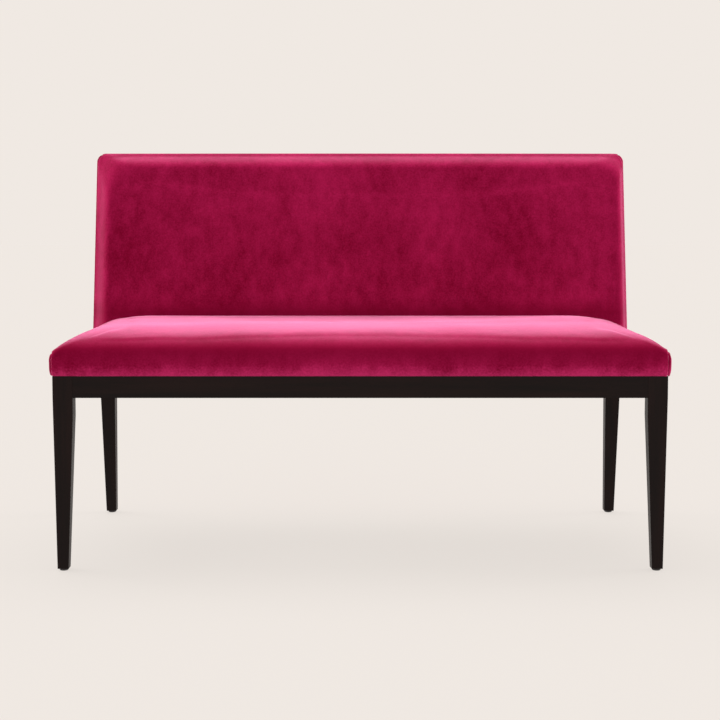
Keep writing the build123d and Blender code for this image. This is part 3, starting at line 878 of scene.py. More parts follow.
@dataclass
class Stuffing:
    """Blows up a closed pad as cloth under pressure, held where it is sewn or tacked."""

    voxel: float = 6.0 * MM
    most: float = 7.0 * MM
    pressure: float = 4.0
    frames: int = 20
    quality: int = 4
    mass: float = 0.3
    stiffness: float = 25.0
    bending: float = 2.0
    nearest: int = 6
    passes: int = 50
    powers: int = 4
    sink: float = 0.8 * MM
    rise: float = 1.5 * MM
    edge_fade: float = 14.0 * MM
    tree: KDTree | None = None
    moved: np.ndarray | None = None

    def swell(self, body: bpy.types.Object, held: Callable[[np.ndarray], np.ndarray]) -> None:
        """Runs the simulation, keeps how far each point moved, and removes the body.

        Args:
            body: a closed mesh of the pad.
            held: gives, for points, how far from 0 to 1 each is held in place.
        """
        remesh = body.modifiers.new("even", "REMESH")
        remesh.mode = "VOXEL"
        remesh.voxel_size = self.voxel
        apply_modifiers(body)
        count = len(body.data.vertices)
        rest = np.zeros(count * 3)
        body.data.vertices.foreach_get("co", rest)
        rest = rest.reshape(-1, 3)
        self.moved = self._run(body, held(rest), rest)
        self.tree = tree_of(rest)
        LOG.info("%s: %d points, moved up to %.1f mm", body.name, count, 1000 * np.abs(self.moved).max())
        bpy.data.objects.remove(body)

    def _run(self, body: bpy.types.Object, hold: np.ndarray, rest: np.ndarray) -> np.ndarray:
        """Steps the cloth and caps how far a point moves.

        Args:
            body: the remeshed pad.
            hold: how far each point is held.
            rest: the points before.

        Returns:
            How far each point moved.
        """
        group = body.vertex_groups.new(name="held")
        for number, weight in enumerate(hold):
            if weight > 0:
                group.add([number], float(weight), "REPLACE")
        cloth = body.modifiers.new("cover", "CLOTH")
        settings = cloth.settings
        settings.vertex_group_mass = "held"
        settings.use_pressure = True
        settings.uniform_pressure_force = self.pressure
        settings.effector_weights.gravity = 0.0
        settings.quality = self.quality
        settings.mass = self.mass
        settings.tension_stiffness = self.stiffness
        settings.compression_stiffness = self.stiffness
        settings.bending_stiffness = self.bending
        cloth.point_cache.frame_start = 1
        cloth.point_cache.frame_end = self.frames
        scene = bpy.context.scene
        for number in range(1, self.frames + 1):
            scene.frame_set(number)
        graph = bpy.context.evaluated_depsgraph_get()
        final = np.zeros(len(rest) * 3)
        body.evaluated_get(graph).data.vertices.foreach_get("co", final)
        moved = final.reshape(-1, 3) - rest
        scene.frame_set(1)
        length = np.linalg.norm(moved, axis=1, keepdims=True)
        return moved * np.minimum(1.0, self.most / np.maximum(length, TINY))

    def applied(self, grid: np.ndarray) -> np.ndarray:
        """Moves a panel as the simulated pad beside it moved.

        Args:
            grid: the panel's points.

        Returns:
            The panel's new points: its broad form stays, and its edges too.
        """
        if self.tree is None:
            return grid
        shift = softened(blended(self.tree, self.moved, grid, self.nearest), self.passes)
        normals = grid_normals(grid)
        outward = (shift * normals).sum(axis=2)
        row, column = [np.linspace(-1, 1, count) for count in outward.shape]
        powers = list(np.ndindex(self.powers, self.powers))
        terms = np.stack([np.outer(row**first, column**second) for first, second in powers], axis=2)
        terms = terms.reshape(-1, len(powers))
        broad = terms @ np.linalg.lstsq(terms, outward.ravel(), rcond=None)[0]
        detail = outward - broad.reshape(outward.shape)
        most = np.where(detail > 0, self.rise, self.sink)
        fade = rising(edge_distance(grid), 0.0, self.edge_fade)
        return grid + normals * (most * np.tanh(detail / most) * fade)[..., None]


class CoverShift:
    """How far the panels of a cover moved from their plain form, for the layer below to follow."""

    nearest = 4

    def __init__(self) -> None:
        """Starts with no panels."""
        self.plain: list[np.ndarray] = []
        self.moves: list[np.ndarray] = []

    def note(self, plain: np.ndarray, moved: np.ndarray) -> None:
        """Keeps how far one panel moved."""
        self.plain.append(np.concatenate([plain, grid_normals(plain)], axis=2).reshape(-1, 6))
        self.moves.append((moved - plain).reshape(-1, 3))

    def followed(self, rings: list[np.ndarray], near: float, far: float) -> list[np.ndarray]:
        """Moves a layer as the cover above it moved.

        Args:
            rings: the layer.
            near: depth below the cover down to which it moves with it.
            far: depth from which it stays.

        Returns:
            The layer's new rings.
        """
        grid = np.array(rings)
        plain, moves = np.concatenate(self.plain), np.concatenate(self.moves)
        tree = tree_of(plain[:, :3])
        above = blended(tree, plain, grid, 1)
        depth = ((above[..., :3] - grid) * above[..., 3:]).sum(axis=2)
        share = 1 - rising(depth, near, far - near)
        return list(grid + blended(tree, moves, grid, self.nearest) * share[..., None])


class Seam:
    """A sewn line, from which the cloth's folds are measured."""

    spacing = 1.0 * MM

    def __init__(self, line: np.ndarray) -> None:
        """Keeps the line's points close together.

        Args:
            line: points along the seam.
        """
        length = float(np.linalg.norm(np.diff(line, axis=0), axis=1).sum())
        count = max(2, round(length / self.spacing))
        self.length = length
        self.points = resampled(line, np.linspace(0, 1, count))
        self.tree = tree_of(self.points)

    def measure(self, grid: np.ndarray) -> tuple[np.ndarray, np.ndarray]:
        """How far each point is from the seam, and its place along it.

        Args:
            grid: rows by columns by 3.

        Returns:
            Distances and lengths along the seam.
        """
        distance, along = np.zeros(grid.shape[:2]), np.zeros(grid.shape[:2])
        last = len(self.points) - 1
        for place in np.ndindex(grid.shape[:2]):
            _, number, away = self.tree.find(grid[place])
            distance[place] = away
            along[place] = self.length * number / last
        return distance, softened(along[..., None], 4)[..., 0]


@dataclass(frozen=True)
class SeamLook:
    """The groove, roll and gathers beside a seam."""

    groove: float = 1.6 * MM
    width: float = 1.6 * MM
    roll: float = 0.5 * MM
    roll_place: float = 2.4
    roll_width: float = 1.3
    gather: float = 0.5 * MM
    gather_start: float = 1.5 * MM
    reach: float = 9.0 * MM
    slant: float = 0.7
    waves: tuple[float, ...] = (8.3 * MM, 10.9 * MM, 17.0 * MM)
    patches: tuple[float, ...] = (83 * MM, 131 * MM, 211 * MM)
    seed: float = 1.0

    def sewn(self, grid: np.ndarray, seam: Seam) -> np.ndarray:
        """Draws a panel in along its seam.

        Args:
            grid: the panel's points.
            seam: one of its seams.

        Returns:
            The panel's new points.
        """
        distance, along = seam.measure(grid)
        groove = -self.groove * np.exp(-((distance / self.width) ** 2))
        off_roll = (distance - self.roll_place * self.width) / (self.roll_width * self.width)
        beside = self.roll * np.exp(-(off_roll**2))
        wave = ripple(along + self.slant * distance, self.waves, self.seed)
        patchy = 0.6 + 0.4 * ripple(along, self.patches, self.seed + 0.5)
        fade = np.exp(-distance / self.reach) * rising(distance, 0.0, self.gather_start)
        lift = groove + beside + self.gather * wave * patchy * fade
        return grid + grid_normals(grid) * lift[..., None]


def turned_in(
    grid: np.ndarray,
    plain: np.ndarray,
    columns: tuple[bool, bool] = (True, True),
    rows: tuple[bool, bool] = (False, False),
) -> np.ndarray:
    """Turns the cloth in at a panel's sewn edges, as its seam allowance.

    Args:
        grid: the panel's points.
        plain: the panel before its seams drew it in, which gives the way in.
        columns: whether its first and its last column are sewn.
        rows: whether its first and its last row are sewn.

    Returns:
        The panel with two more columns or rows at each sewn edge.
    """
    depths = np.array([0.0, 1.4, 4.5]) * MM
    spreads = np.array([0.0, 0.35, 0.2]) * MM
    spans = [
        np.arange(-2 * first, count + 2 * last)
        for count, (first, last) in zip(grid.shape[:2], (rows, columns))
    ]
    row, column = np.meshgrid(*spans, indexing="ij")
    held = np.clip(row, 0, grid.shape[0] - 1), np.clip(column, 0, grid.shape[1] - 1)
    over = row - held[0], column - held[1]
    level = np.maximum(np.abs(over[0]), np.abs(over[1]))
    made = grid[held] - grid_normals(plain)[held] * depths[level][..., None]
    for axis in (0, 1):
        step = np.gradient(plain, axis=axis)
        step /= np.maximum(np.linalg.norm(step, axis=2, keepdims=True), TINY)
        made += step[held] * (np.sign(over[axis]) * spreads[np.abs(over[axis])])[..., None]
    return made


def pressed(
    rings: list[np.ndarray], lines: Iterable[np.ndarray], depth: float = 3.6 * MM, width: float = 5.0 * MM
) -> list[np.ndarray]:
    """Draws a layer in below the cover's seams, so that it stays under the cover.

    Args:
        rings: the layer's outer surface.
        lines: the seams above it.
        depth: how far it goes in at a seam.
        width: how far beside a seam it goes in.

    Returns:
        The new rings.
    """
    grid = np.array(rings)
    shift = np.zeros(grid.shape[:2])
    for line in lines:
        shift = np.maximum(shift, depth * np.exp(-((Seam(line).measure(grid)[0] / width) ** 2)))
    return list(grid - grid_normals(grid) * shift[..., None])


@dataclass
class Upholstery:
    """A pad in layers: foam, wadding, and a cover of panels that are sewn together."""

    workshop: Workshop
    cover: float = 1.2 * MM
    wadding: float = 6.0 * MM
    gap: float = 0.3 * MM
    seam_step: float = 0.8 * MM
    widest_step: float = 7.0 * MM
    seams: dict[Side, SeamLook] = field(default_factory=dict)
    stuffing: Stuffing = field(default_factory=Stuffing)
    shift: CoverShift = field(default_factory=CoverShift)

    def stuffed(self, grid: np.ndarray, settled: np.ndarray | None = None) -> np.ndarray:
        """Fills a panel out as the stuffing below it does, and notes that for the wadding.

        Args:
            grid: the panel's plain form.
            settled: the same with its slow waves, where it has them.

        Returns:
            The filled panel.
        """
        filled = self.stuffing.applied(grid if settled is None else settled)
        self.shift.note(grid, filled)
        return filled

    def sewn(self, panel: np.ndarray) -> np.ndarray:
        """Draws the main panel in along both of its side seams.

        Args:
            panel: the filled panel, whose first column is the left seam and last the right one.

        Returns:
            The panel's new points.
        """
        made = panel
        for side, edge in zip(Side, (0, -1)):
            made = self.seams[side].sewn(made, Seam(panel[:, edge]))
        return made


# Seat


@dataclass(frozen=True)
class SeatForm:
    """The seat's outer form: walls that draw in at the bottom under a crown."""

    half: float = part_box("seat_boxing_right")[1].x
    front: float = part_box("seat_cover_main")[0].y
    bottom: float = BASE_TOP
    edge_height: float = 0.042
    side_edge_height: float = 0.034
    crown_height: float = 0.097
    front_tuck: float = 0.008
    side_tuck: float = 0.005
    tuck_height: float = 0.018
    side_shoulder: float = 0.119
    side_power: float = 1.8
    front_shoulder: float = 0.250
    front_power: float = 2.9
    rear_shoulder: float = 0.014
    corner: float = 0.012
    corner_growth: float = 0.085
    power: float = 2.3
    back_foot: float = BACK_FACE_FOOT
    back_rate: float = BACK_FACE_RATE
    back_crown: float = 0.004
    pad_gap: float = 0.0005
    wall_levels: int = 9
    crown_levels: int = 25
    least_step: float = 0.4 * MM

    @property
    def edge(self) -> float:
        """Height at which front and rear turn over into the crown."""
        return self.bottom + self.edge_height

    @property
    def top(self) -> float:
        """Height of the crown's level middle."""
        return self.bottom + self.crown_height

    def shoulder(self, z: np.ndarray, edge_height: float, power: float) -> np.ndarray:
        """Share of a shoulder that lies outside a height."""
        edge = self.bottom + edge_height
        return rolled((z - edge) / (self.top - edge), power)

    def drawn_in(self, z: np.ndarray, edge_height: float) -> np.ndarray:
        """Share of the tuck that a wall has at a height."""
        return rolled((self.bottom + edge_height - z) / edge_height)

    def half_at(self, z: np.ndarray) -> np.ndarray:
        """Half of the width at a height."""
        shoulder = self.side_shoulder * self.shoulder(z, self.side_edge_height, self.side_power)
        return self.half - shoulder - self.side_tuck * self.drawn_in(z, self.tuck_height)

    def front_at(self, z: np.ndarray) -> np.ndarray:
        """Depth of the front at a height."""
        shoulder = self.front_shoulder * self.shoulder(z, self.edge_height, self.front_power)
        return self.front + shoulder + self.front_tuck * self.drawn_in(z, self.edge_height)

    def rear_at(self, z: np.ndarray, x: np.ndarray) -> np.ndarray:
        """Depth of the rear, just in front of the back's face.

        Args:
            z: heights.
            x: places across.

        Returns:
            Depths.
        """
        face = self.back_foot + self.back_rate * (z - self.bottom)
        bow = self.back_crown * (1 - (x / self.half) ** 2)
        shoulder = self.rear_shoulder * self.shoulder(z, self.edge_height, self.power)
        return face - self.pad_gap - bow - shoulder - self.side_tuck * self.drawn_in(z, self.edge_height)

    def radius_at(self, z: np.ndarray) -> np.ndarray:
        """Radius of the corners at a height, seen from above."""
        return self.corner + self.corner_growth * self.shoulder(z, self.edge_height, self.power)

    def level(self, x: np.ndarray) -> np.ndarray:
        """Height of the crown's highest line.

        Args:
            x: places across.

        Returns:
            Heights.
        """
        share = np.clip((self.half - np.abs(x)) / self.side_shoulder, 0.0, 1.0)
        up = (1 - (1 - share) ** self.side_power) ** (1 / self.side_power)
        low = self.bottom + self.side_edge_height
        return low + (self.top - low) * up

    def bite(self, x: np.ndarray, z: np.ndarray) -> np.ndarray:
        """How far a rounded corner lies behind the straight front.

        Args:
            x: places across.
            z: heights.

        Returns:
            Distances, 0 between the corners.
        """
        radius = self.radius_at(z)
        out = np.clip(np.abs(x) - (self.half_at(z) - radius), 0.0, radius)
        return radius - np.sqrt(np.maximum(radius * radius - out * out, 0.0))

    def wall_heights(self, count: int) -> np.ndarray:
        """Heights up the wall, close together at its foot."""
        turn = np.radians(np.linspace(0, 90, count))
        return self.bottom + self.edge_height * (1 - np.cos(turn))

    def crown_height_at(self, x: np.ndarray, share: float) -> np.ndarray:
        """Heights on the way from the wall to the crown's highest line.

        Args:
            x: places across.
            share: of the way.

        Returns:
            One height for each place.
        """
        up = np.clip((self.level(x) - self.edge) / (self.top - self.edge), 0.0, 1.0)
        turn = np.arcsin(up ** (self.power / 2)) * share
        return self.edge + (self.top - self.edge) * np.sin(turn) ** (2 / self.power)

    def inner(self, depth: float) -> "SeatForm":
        """The form inside this one.

        Args:
            depth: how far inside.

        Returns:
            The inner form.
        """
        return replace(
            self,
            half=self.half - depth,
            front=self.front + depth,
            crown_height=self.crown_height - depth,
            side_shoulder=self.side_shoulder - depth,
            front_shoulder=self.front_shoulder - depth,
            rear_shoulder=self.rear_shoulder - depth,
            corner=max(self.corner - depth, 2.0 * MM),
            pad_gap=self.pad_gap + depth,
        )

    def rings(self, low: float) -> list[np.ndarray]:
        """The form as a stack of rings.

        Args:
            low: height of the lowest.

        Returns:
            Rings up to the level top.
        """
        turn = np.radians(np.linspace(0, 90, self.crown_levels))[1:]
        crown = self.edge + (self.top - self.edge) * np.sin(turn) ** (2 / self.power)
        heights = np.concatenate([self.wall_heights(self.wall_levels), crown])
        made = []
        for height in [low, *heights[heights > low + self.least_step]]:
            half, front = float(self.half_at(height)), float(self.front_at(height))
            rear = float(self.rear_at(height, half))
            bow = self.back_crown * (half / self.half) ** 2
            made.append(ring_points(half, front, rear, height, float(self.radius_at(height)), bow))
        return made


@dataclass
class SeatUpholstery(Upholstery):
    """Foam, wadding and cover of the seat."""

    form: SeatForm = field(default_factory=SeatForm)
    slack: float = 1.6 * MM
    seam_inset: dict[Side, float] = field(
        default_factory=lambda: {Side.LEFT: 5.6 * MM, Side.RIGHT: 8.2 * MM}
    )
    seams: dict[Side, SeamLook] = field(
        default_factory=lambda: {
            Side.LEFT: SeamLook(
                groove=1.5 * MM,
                gather=1.3 * MM,
                reach=11 * MM,
                waves=(9.7 * MM, 14.3 * MM, 23 * MM),
                seed=2.0,
            ),
            Side.RIGHT: SeamLook(groove=1.7 * MM, width=1.7 * MM, roll=1.3 * MM, gather=0.5 * MM, seed=3.0),
        }
    )
    foam_bottom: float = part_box("seat_foam")[0].z
    wall_rows: int = 21
    crown_rows: int = 57
    top_rows: int = 61
    rear_rows: int = 9
    side_rows: int = 7
    corner_points: int = 17
    side_steps: tuple[float, float] = (0.0016, 0.012)
    slow_waves: tuple[float, ...] = (0.173, 0.263, 0.431)
    cross_waves: tuple[float, ...] = (0.161, 0.307)

    def build(self) -> None:
        """Makes every soft layer of the seat."""
        self.stuffing.swell(ringed_body("seat_stuffing", self.form.rings(self.form.bottom)), self._held)
        lines = self._main()
        for side in Side:
            self._boxing(side)
        self._foam()
        self._wadding(lines.values())

    def _held(self, points: np.ndarray) -> np.ndarray:
        """How firmly the cover is held: at its foot, behind, and along its side seams.

        Args:
            points: one row for each point.

        Returns:
            From 0 to 1 for each.
        """
        form = self.form
        x, y, z = points.T
        foot = 1 - rising(z - form.bottom, 6 * MM, 12 * MM)
        behind = rising(y - form.rear_at(z, x), -20 * MM, 12 * MM)
        seam = 1 - rising(np.abs(form.half - np.abs(x) - 6 * MM), 0.0, 10 * MM)
        above = rising(z - form.edge, -4 * MM, 4 * MM)
        front = 1 - rising(y - form.front, 12 * MM, 8 * MM)
        return np.maximum.reduce([foot, behind, seam * np.maximum(above, front)])

    def _main(self) -> dict[Side, np.ndarray]:
        """Front, top and tucked-in rear in one panel.

        Returns:
            The line of each side seam.
        """
        form = self.form
        left = self.seam_inset[Side.LEFT] - form.half
        right = form.half - self.seam_inset[Side.RIGHT]
        x = left + graded(right - left, self.seam_step, self.widest_step)
        walls = [np.full_like(x, height) for height in form.wall_heights(self.wall_rows)[:-1]]
        crown = [form.crown_height_at(x, share) for share in np.linspace(0, 1, self.crown_rows)]
        rows = [(form.front_at(z) + form.bite(x, z), z) for z in walls + crown]
        rear_crown = [form.crown_height_at(x, share) for share in np.linspace(1, 0, self.rear_rows)]
        rear_walls = walls[:0:-3] + walls[:1]
        rear_rows = [(form.rear_at(z, x) - form.bite(x, z), z) for z in rear_crown + rear_walls]
        (near, level), (far, _) = rows[-1], rear_rows[0]
        rows += [(near + (far - near) * share, level) for share in np.linspace(0, 1, self.top_rows)[1:-1]]
        grid = np.array([np.stack([x, depth, z], axis=1) for depth, z in rows + rear_rows])
        plain = self.stuffed(grid, self._settled(grid))
        piece = panel_object("seat_cover", turned_in(self.sewn(plain), plain), self.cover)
        self.workshop.settle(piece, SEAT_VELVET, ["seat_cover_main"])
        return {Side.LEFT: grid[:, 0], Side.RIGHT: grid[:, -1]}

    def _settled(self, grid: np.ndarray) -> np.ndarray:
        """Gives the crown the slow waves that a stuffed seat has.

        Args:
            grid: the main panel's plain form.

        Returns:
            Its new points.
        """
        x, y, z = grid[..., 0], grid[..., 1], grid[..., 2]
        crown = rising(z - self.form.edge, 0.0, 30 * MM)
        near_rear = rising(self.form.rear_at(z, x) - y, 0.0, 50 * MM)
        inside = rising(self.form.half - np.abs(x), 0.0, 60 * MM)
        slow = ripple(x + 0.3 * y, self.slow_waves, 0.7)
        crossing = ripple(y - 0.2 * x, self.cross_waves, 1.9)
        lifted = grid.copy()
        lifted[..., 2] += crown * near_rear * inside * (1.0 * MM * slow + 0.6 * MM * crossing)
        return lifted

    def _boxing(self, side: Side) -> None:
        """One side panel, between the front corner's seam and the rear.

        Args:
            side: which one.
        """
        form = self.form
        seam = form.half - self.seam_inset[side]
        top = float(form.level(np.array(seam)))
        walls = form.wall_heights(self.wall_rows)[:-1]
        levels = np.concatenate([walls, np.linspace(form.edge, top, self.side_rows)])
        grid = np.array([self._side_line(float(height), seam) for height in levels])
        if side is Side.LEFT:
            grid = grid[:, ::-1] * np.array([-1.0, 1.0, 1.0])
        grid = self.stuffed(grid)
        seam_line = np.concatenate([grid[:, 0], grid[-1, 1:-1], grid[::-1, -1]])
        look = replace(self.seams[side], gather=0.4 * MM, reach=6 * MM)
        grid = turned_in(look.sewn(grid, Seam(seam_line)), grid, rows=(False, True))
        piece = panel_object("seat_side_panel_" + side.name.lower(), grid, self.cover)
        self.workshop.settle(piece, SEAT_VELVET, ["seat_boxing_" + side.name.lower()])

    def _side_line(self, height: float, seam: float) -> np.ndarray:
        """The right-hand side's line at a height, from the front seam to the rear seam.

        Args:
            height: of the line.
            seam: place across of the seam.

        Returns:
            Points, the same number at each height.
        """
        form = self.form
        half, radius = float(form.half_at(height)), float(form.radius_at(height))
        front, rear = float(form.front_at(height)), float(form.rear_at(height, seam))
        start = math.asin(min(1.0, max(0.0, (seam - half + radius) / radius)))
        arc = np.linspace(start, math.pi / 2, self.corner_points)
        across = half - radius + radius * np.sin(arc)
        near = np.stack([across, front + radius - radius * np.cos(arc)], axis=1)
        far = np.stack([across, rear - radius + radius * np.cos(arc)], axis=1)[::-1]
        line = np.concatenate([near, far])
        line = np.column_stack([line, np.full(len(line), height)])
        return resampled(line, graded(1.0, *self.side_steps))

    def _foam(self) -> None:
        """The foam block on the webbing."""
        inside = self.form.inner(self.cover + self.wadding + 2 * self.gap)
        piece = ringed_body("seat_foam_block", inside.rings(self.foam_bottom))
        self.workshop.settle(piece, FOAM, ["seat_foam"])

    def _wadding(self, seams: Iterable[np.ndarray]) -> None:
        """The wadding wrap between foam and cover, drawn in below the seams.

        Args:
            seams: the lines of the cover's seams.
        """
        first = self.cover + self.gap
        low = self.form.bottom + self.cover
        below = self.form.inner(first)
        below = replace(below, crown_height=below.crown_height - self.slack)
        layer = self.shift.followed(below.rings(low), 2 * first, self.wadding)
        outer = pressed(layer, seams)
        inner = self.form.inner(first + self.wadding).rings(low)
        piece = ringed_body("seat_wadding", inner[::-1] + outer)
        self.workshop.settle(piece, WADDING, ["seat_batting"])


# Back


@dataclass(frozen=True)
class Roll:
    """A rolled edge: its width across the face, its depth, and its shape.

    It is round to a power, or, where it has a straight part, a bevel that eases into the face.
    """

    width: float
    depth: float
    power: float = 2.0
    straight: float = 0.0

    def behind(self, away: np.ndarray) -> np.ndarray:
        """How far behind the plain face the surface lies.

        Args:
            away: distances from the outline.

        Returns:
            Depths.
        """
        if not self.straight:
            return self.depth * rolled(1 - away / self.width, self.power)
        turn = self.width - self.straight
        along = np.clip((away - self.straight) / turn, 0.0, 1.0)
        eased = turn * (0.5 - along + along**3 - along**4 / 2)
        beside = np.maximum(self.straight - away, 0.0)
        return self.depth * (beside + eased) / (self.straight + turn / 2)

    def inner(self, side_in: float, depth_in: float) -> "Roll":
        """The roll inside this one."""
        return replace(self, width=self.width - side_in, depth=self.depth - depth_in)


@dataclass(frozen=True)
class BackForm:
    """The back's outer form: a leaning slab with a rolled face edge and rounded top corners."""

    half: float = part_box("back_boxing_right")[1].x
    middle: float = 0.0
    top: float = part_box("back_cover_main")[1].z
    bottom: float = BASE_TOP
    face_foot: float = BACK_FACE_FOOT
    face_rate: float = BACK_FACE_RATE
    rear_foot: float = FRONT_FACE + 0.5705
    rear_rate: float = 0.0767 / 0.495
    crown: float = 0.004
    corner: float = 0.021
    corner_spread: float = 1.5
    seam_end: float = math.radians(62.0)
    seam_turns: float = 0.75
    top_roll: Roll = Roll(0.042, 0.052, straight=0.009)
    left_roll: Roll = Roll(0.050, 0.053, straight=0.023)
    right_roll: Roll = Roll(0.028, 0.048, straight=0.008)
    rear_roll: float = 0.012
    low_levels: int = 56
    roll_levels: int = 16
    top_levels: int = 8
    side_points: int = 8
    column_steps: tuple[float, float, float] = (0.0006, 0.018, 1.6)

    def inset(self, x: np.ndarray, z: np.ndarray) -> tuple[np.ndarray, np.ndarray]:
        """Distance inside the outline, on lines whose corners grow rounder inwards.

        Args:
            x: places across, from the form's middle.
            z: heights.

        Returns:
            The distances, and how far round the corner from side to top each place is.
        """
        beside, below = self.half - np.abs(x), self.top - z
        least = np.minimum(beside, below)
        spread = self.corner_spread
        across, up = self.corner - beside, self.corner - below
        grown = spread + 1
        squared = 2 * grown**2 - spread**2
        linear = grown * (across + up) - spread * self.corner
        constant = across**2 + up**2 - self.corner**2
        root = np.sqrt(np.maximum(linear**2 - squared * constant, 0.0))
        curved = (root - linear) / squared
        in_corner = np.abs(beside - below) < self.corner + spread * least
        away = np.where(in_corner, np.minimum(curved, least), least)
        reach = self.corner + spread * away
        angle = np.arctan2(np.maximum(reach - below + away, TINY), np.maximum(reach - beside + away, TINY))
        plain = np.where(beside < below, 0.0, math.pi / 2)
        return away, np.where(in_corner, angle, plain)

    def face(self, x: np.ndarray, z: np.ndarray) -> np.ndarray:
        """Depth of the face, with its rolled edges.

        Args:
            x: places across, from the form's middle.
            z: heights.

        Returns:
            Depths.
        """
        away, turn = self.inset(x, z)
        share = smooth_step(turn / (math.pi / 2))
        beside = np.where(x < 0, self.left_roll.behind(away), self.right_roll.behind(away))
        rolled_in = beside + (self.top_roll.behind(away) - beside) * share
        plain = self.face_foot + self.face_rate * (z - self.bottom)
        return plain - self.crown * (1 - (x / self.half) ** 2) + rolled_in

    def behind(self, x: np.ndarray, z: np.ndarray) -> np.ndarray:
        """Depth of the rear face, with its rolled edges.

        Args:
            x: places across, from the form's middle.
            z: heights.

        Returns:
            Depths.
        """
        away, _ = self.inset(x, z)
        plain = self.rear_foot + self.rear_rate * (z - self.bottom)
        return plain - self.rear_roll * rolled(1 - away / self.rear_roll)

    def seam(self, inset: float, share: float) -> tuple[float, float]:
        """The side seam round the top corner: along an arc, then out to the outline.

        Args:
            inset: of the seam from the outline.
            share: from 0 where the corner starts to 1 at the outline.

        Returns:
            Its place across and up, for the right-hand side.
        """
        angle = self.seam_end * min(share / self.seam_turns, 1.0)
        out = max((share - self.seam_turns) / (1 - self.seam_turns), 0.0)
        radius = self.corner - inset * (1 - out)
        across = self.half - self.corner + radius * math.cos(angle)
        return across, self.top - self.corner + radius * math.sin(angle)

    def inner(self, depth: float, side_in: float) -> "BackForm":
        """The form inside this one.

        Args:
            depth: how far inside, in front, behind and above.
            side_in: how far inside at the sides.

        Returns:
            The inner form.
        """
        return replace(
            self,
            half=self.half - side_in,
            top=self.top - depth,
            corner=self.corner - depth,
            face_foot=self.face_foot + depth,
            rear_foot=self.rear_foot - depth,
            top_roll=self.top_roll.inner(depth, depth),
            left_roll=self.left_roll.inner(side_in, depth),
            right_roll=self.right_roll.inner(side_in, depth),
            rear_roll=max(self.rear_roll - depth, 2.0 * MM),
        )

    def heights(self) -> np.ndarray:
        """Levels from the bottom to the top.

        Returns:
            The heights, close together in the rolled edge.
        """
        roll = self.top_roll.width + 4 * MM
        low = np.linspace(self.bottom, self.top - roll, self.low_levels)[:-1]
        return np.concatenate([low, self.top - roll * (1 - np.linspace(0, 1, self.roll_levels)) ** 2])

    def half_at(self, height: float) -> float:
        """Half of the width at a height, less in the rounded top corners."""
        over = min(max(height - (self.top - self.corner), 0.0), self.corner)
        return self.half - self.corner + math.sqrt(self.corner**2 - over**2)

    def columns(self, height: float) -> np.ndarray:
        """Places across the back at a height, close together at the sides."""
        return (graded(2.0, *self.column_steps) - 1) * self.half_at(height)

    def front_path(self, height: float, rear_end: float) -> np.ndarray:
        """One level of the form from a place behind, forward along the left side, and back.

        Args:
            height: of the level.
            rear_end: depth at which the path starts and ends.

        Returns:
            Points along the path.
        """
        x = self.columns(height)
        face = self.face(x, np.full_like(x, height))
        side = np.linspace(0, 1, self.side_points + 1)[1:, None]
        left, right = np.array([x[0], face[0]]), np.array([x[-1], face[-1]])
        back_left, back_right = np.array([x[0], rear_end]), np.array([x[-1], rear_end])
        flat = np.concatenate([
            (left + (back_left - left) * side)[::-1],
            np.stack([x, face], axis=1),
            right + (back_right - right) * side,
        ])
        flat[:, 0] += self.middle
        return np.column_stack([flat, np.full(len(flat), height)])

    def slab(self, flat_rear: Callable[[float], float] | None = None) -> list[np.ndarray]:
        """The form as a stack of closed rings.

        Args:
            flat_rear: depth of a flat rear face at each height, or None for the form's own.

        Returns:
            Rings from the bottom to the top.
        """
        made = []
        for height in self.heights():
            x = self.columns(height)[::-1]
            level = np.full_like(x, height)
            rear = self.behind(x, level) if flat_rear is None else np.full_like(x, flat_rear(height))
            path = self.front_path(height, float(rear[0]))
            behind = np.stack([x + self.middle, rear, level], axis=1)[1:-1]
            face = path[self.side_points + 1 : -self.side_points - 1][::-1, 1]
            behind[:, 1] = np.maximum(behind[:, 1], face + 0.5 * MM)
            made.append(np.concatenate([path, behind]))
        return made

    def wrap(self, thickness: float, side_thickness: float, short: float) -> list[np.ndarray]:
        """A wrap over face, sides and top that is open behind, as a stack of closed rings.

        Args:
            thickness: over the face and the top.
            side_thickness: at the sides.
            short: how far in front of the rear face it ends.

        Returns:
            Rings from the bottom to the top.
        """
        inside = self.inner(thickness, side_thickness)
        low = inside.heights()
        high = np.linspace(inside.top, self.top, self.top_levels)
        made = []
        for height, closed in [(level, False) for level in low] + [(level, True) for level in high]:
            end = self.rear_foot + self.rear_rate * (height - self.bottom) - short
            outer = self.front_path(height, end)
            inner_path = inside.front_path(height, end)
            if closed:
                share = np.linspace(0, 1, len(inner_path))[:, None]
                inner_path = outer[:1] + (outer[-1:] - outer[:1]) * share
            made.append(np.concatenate([outer, inner_path[::-1]]))
        return made


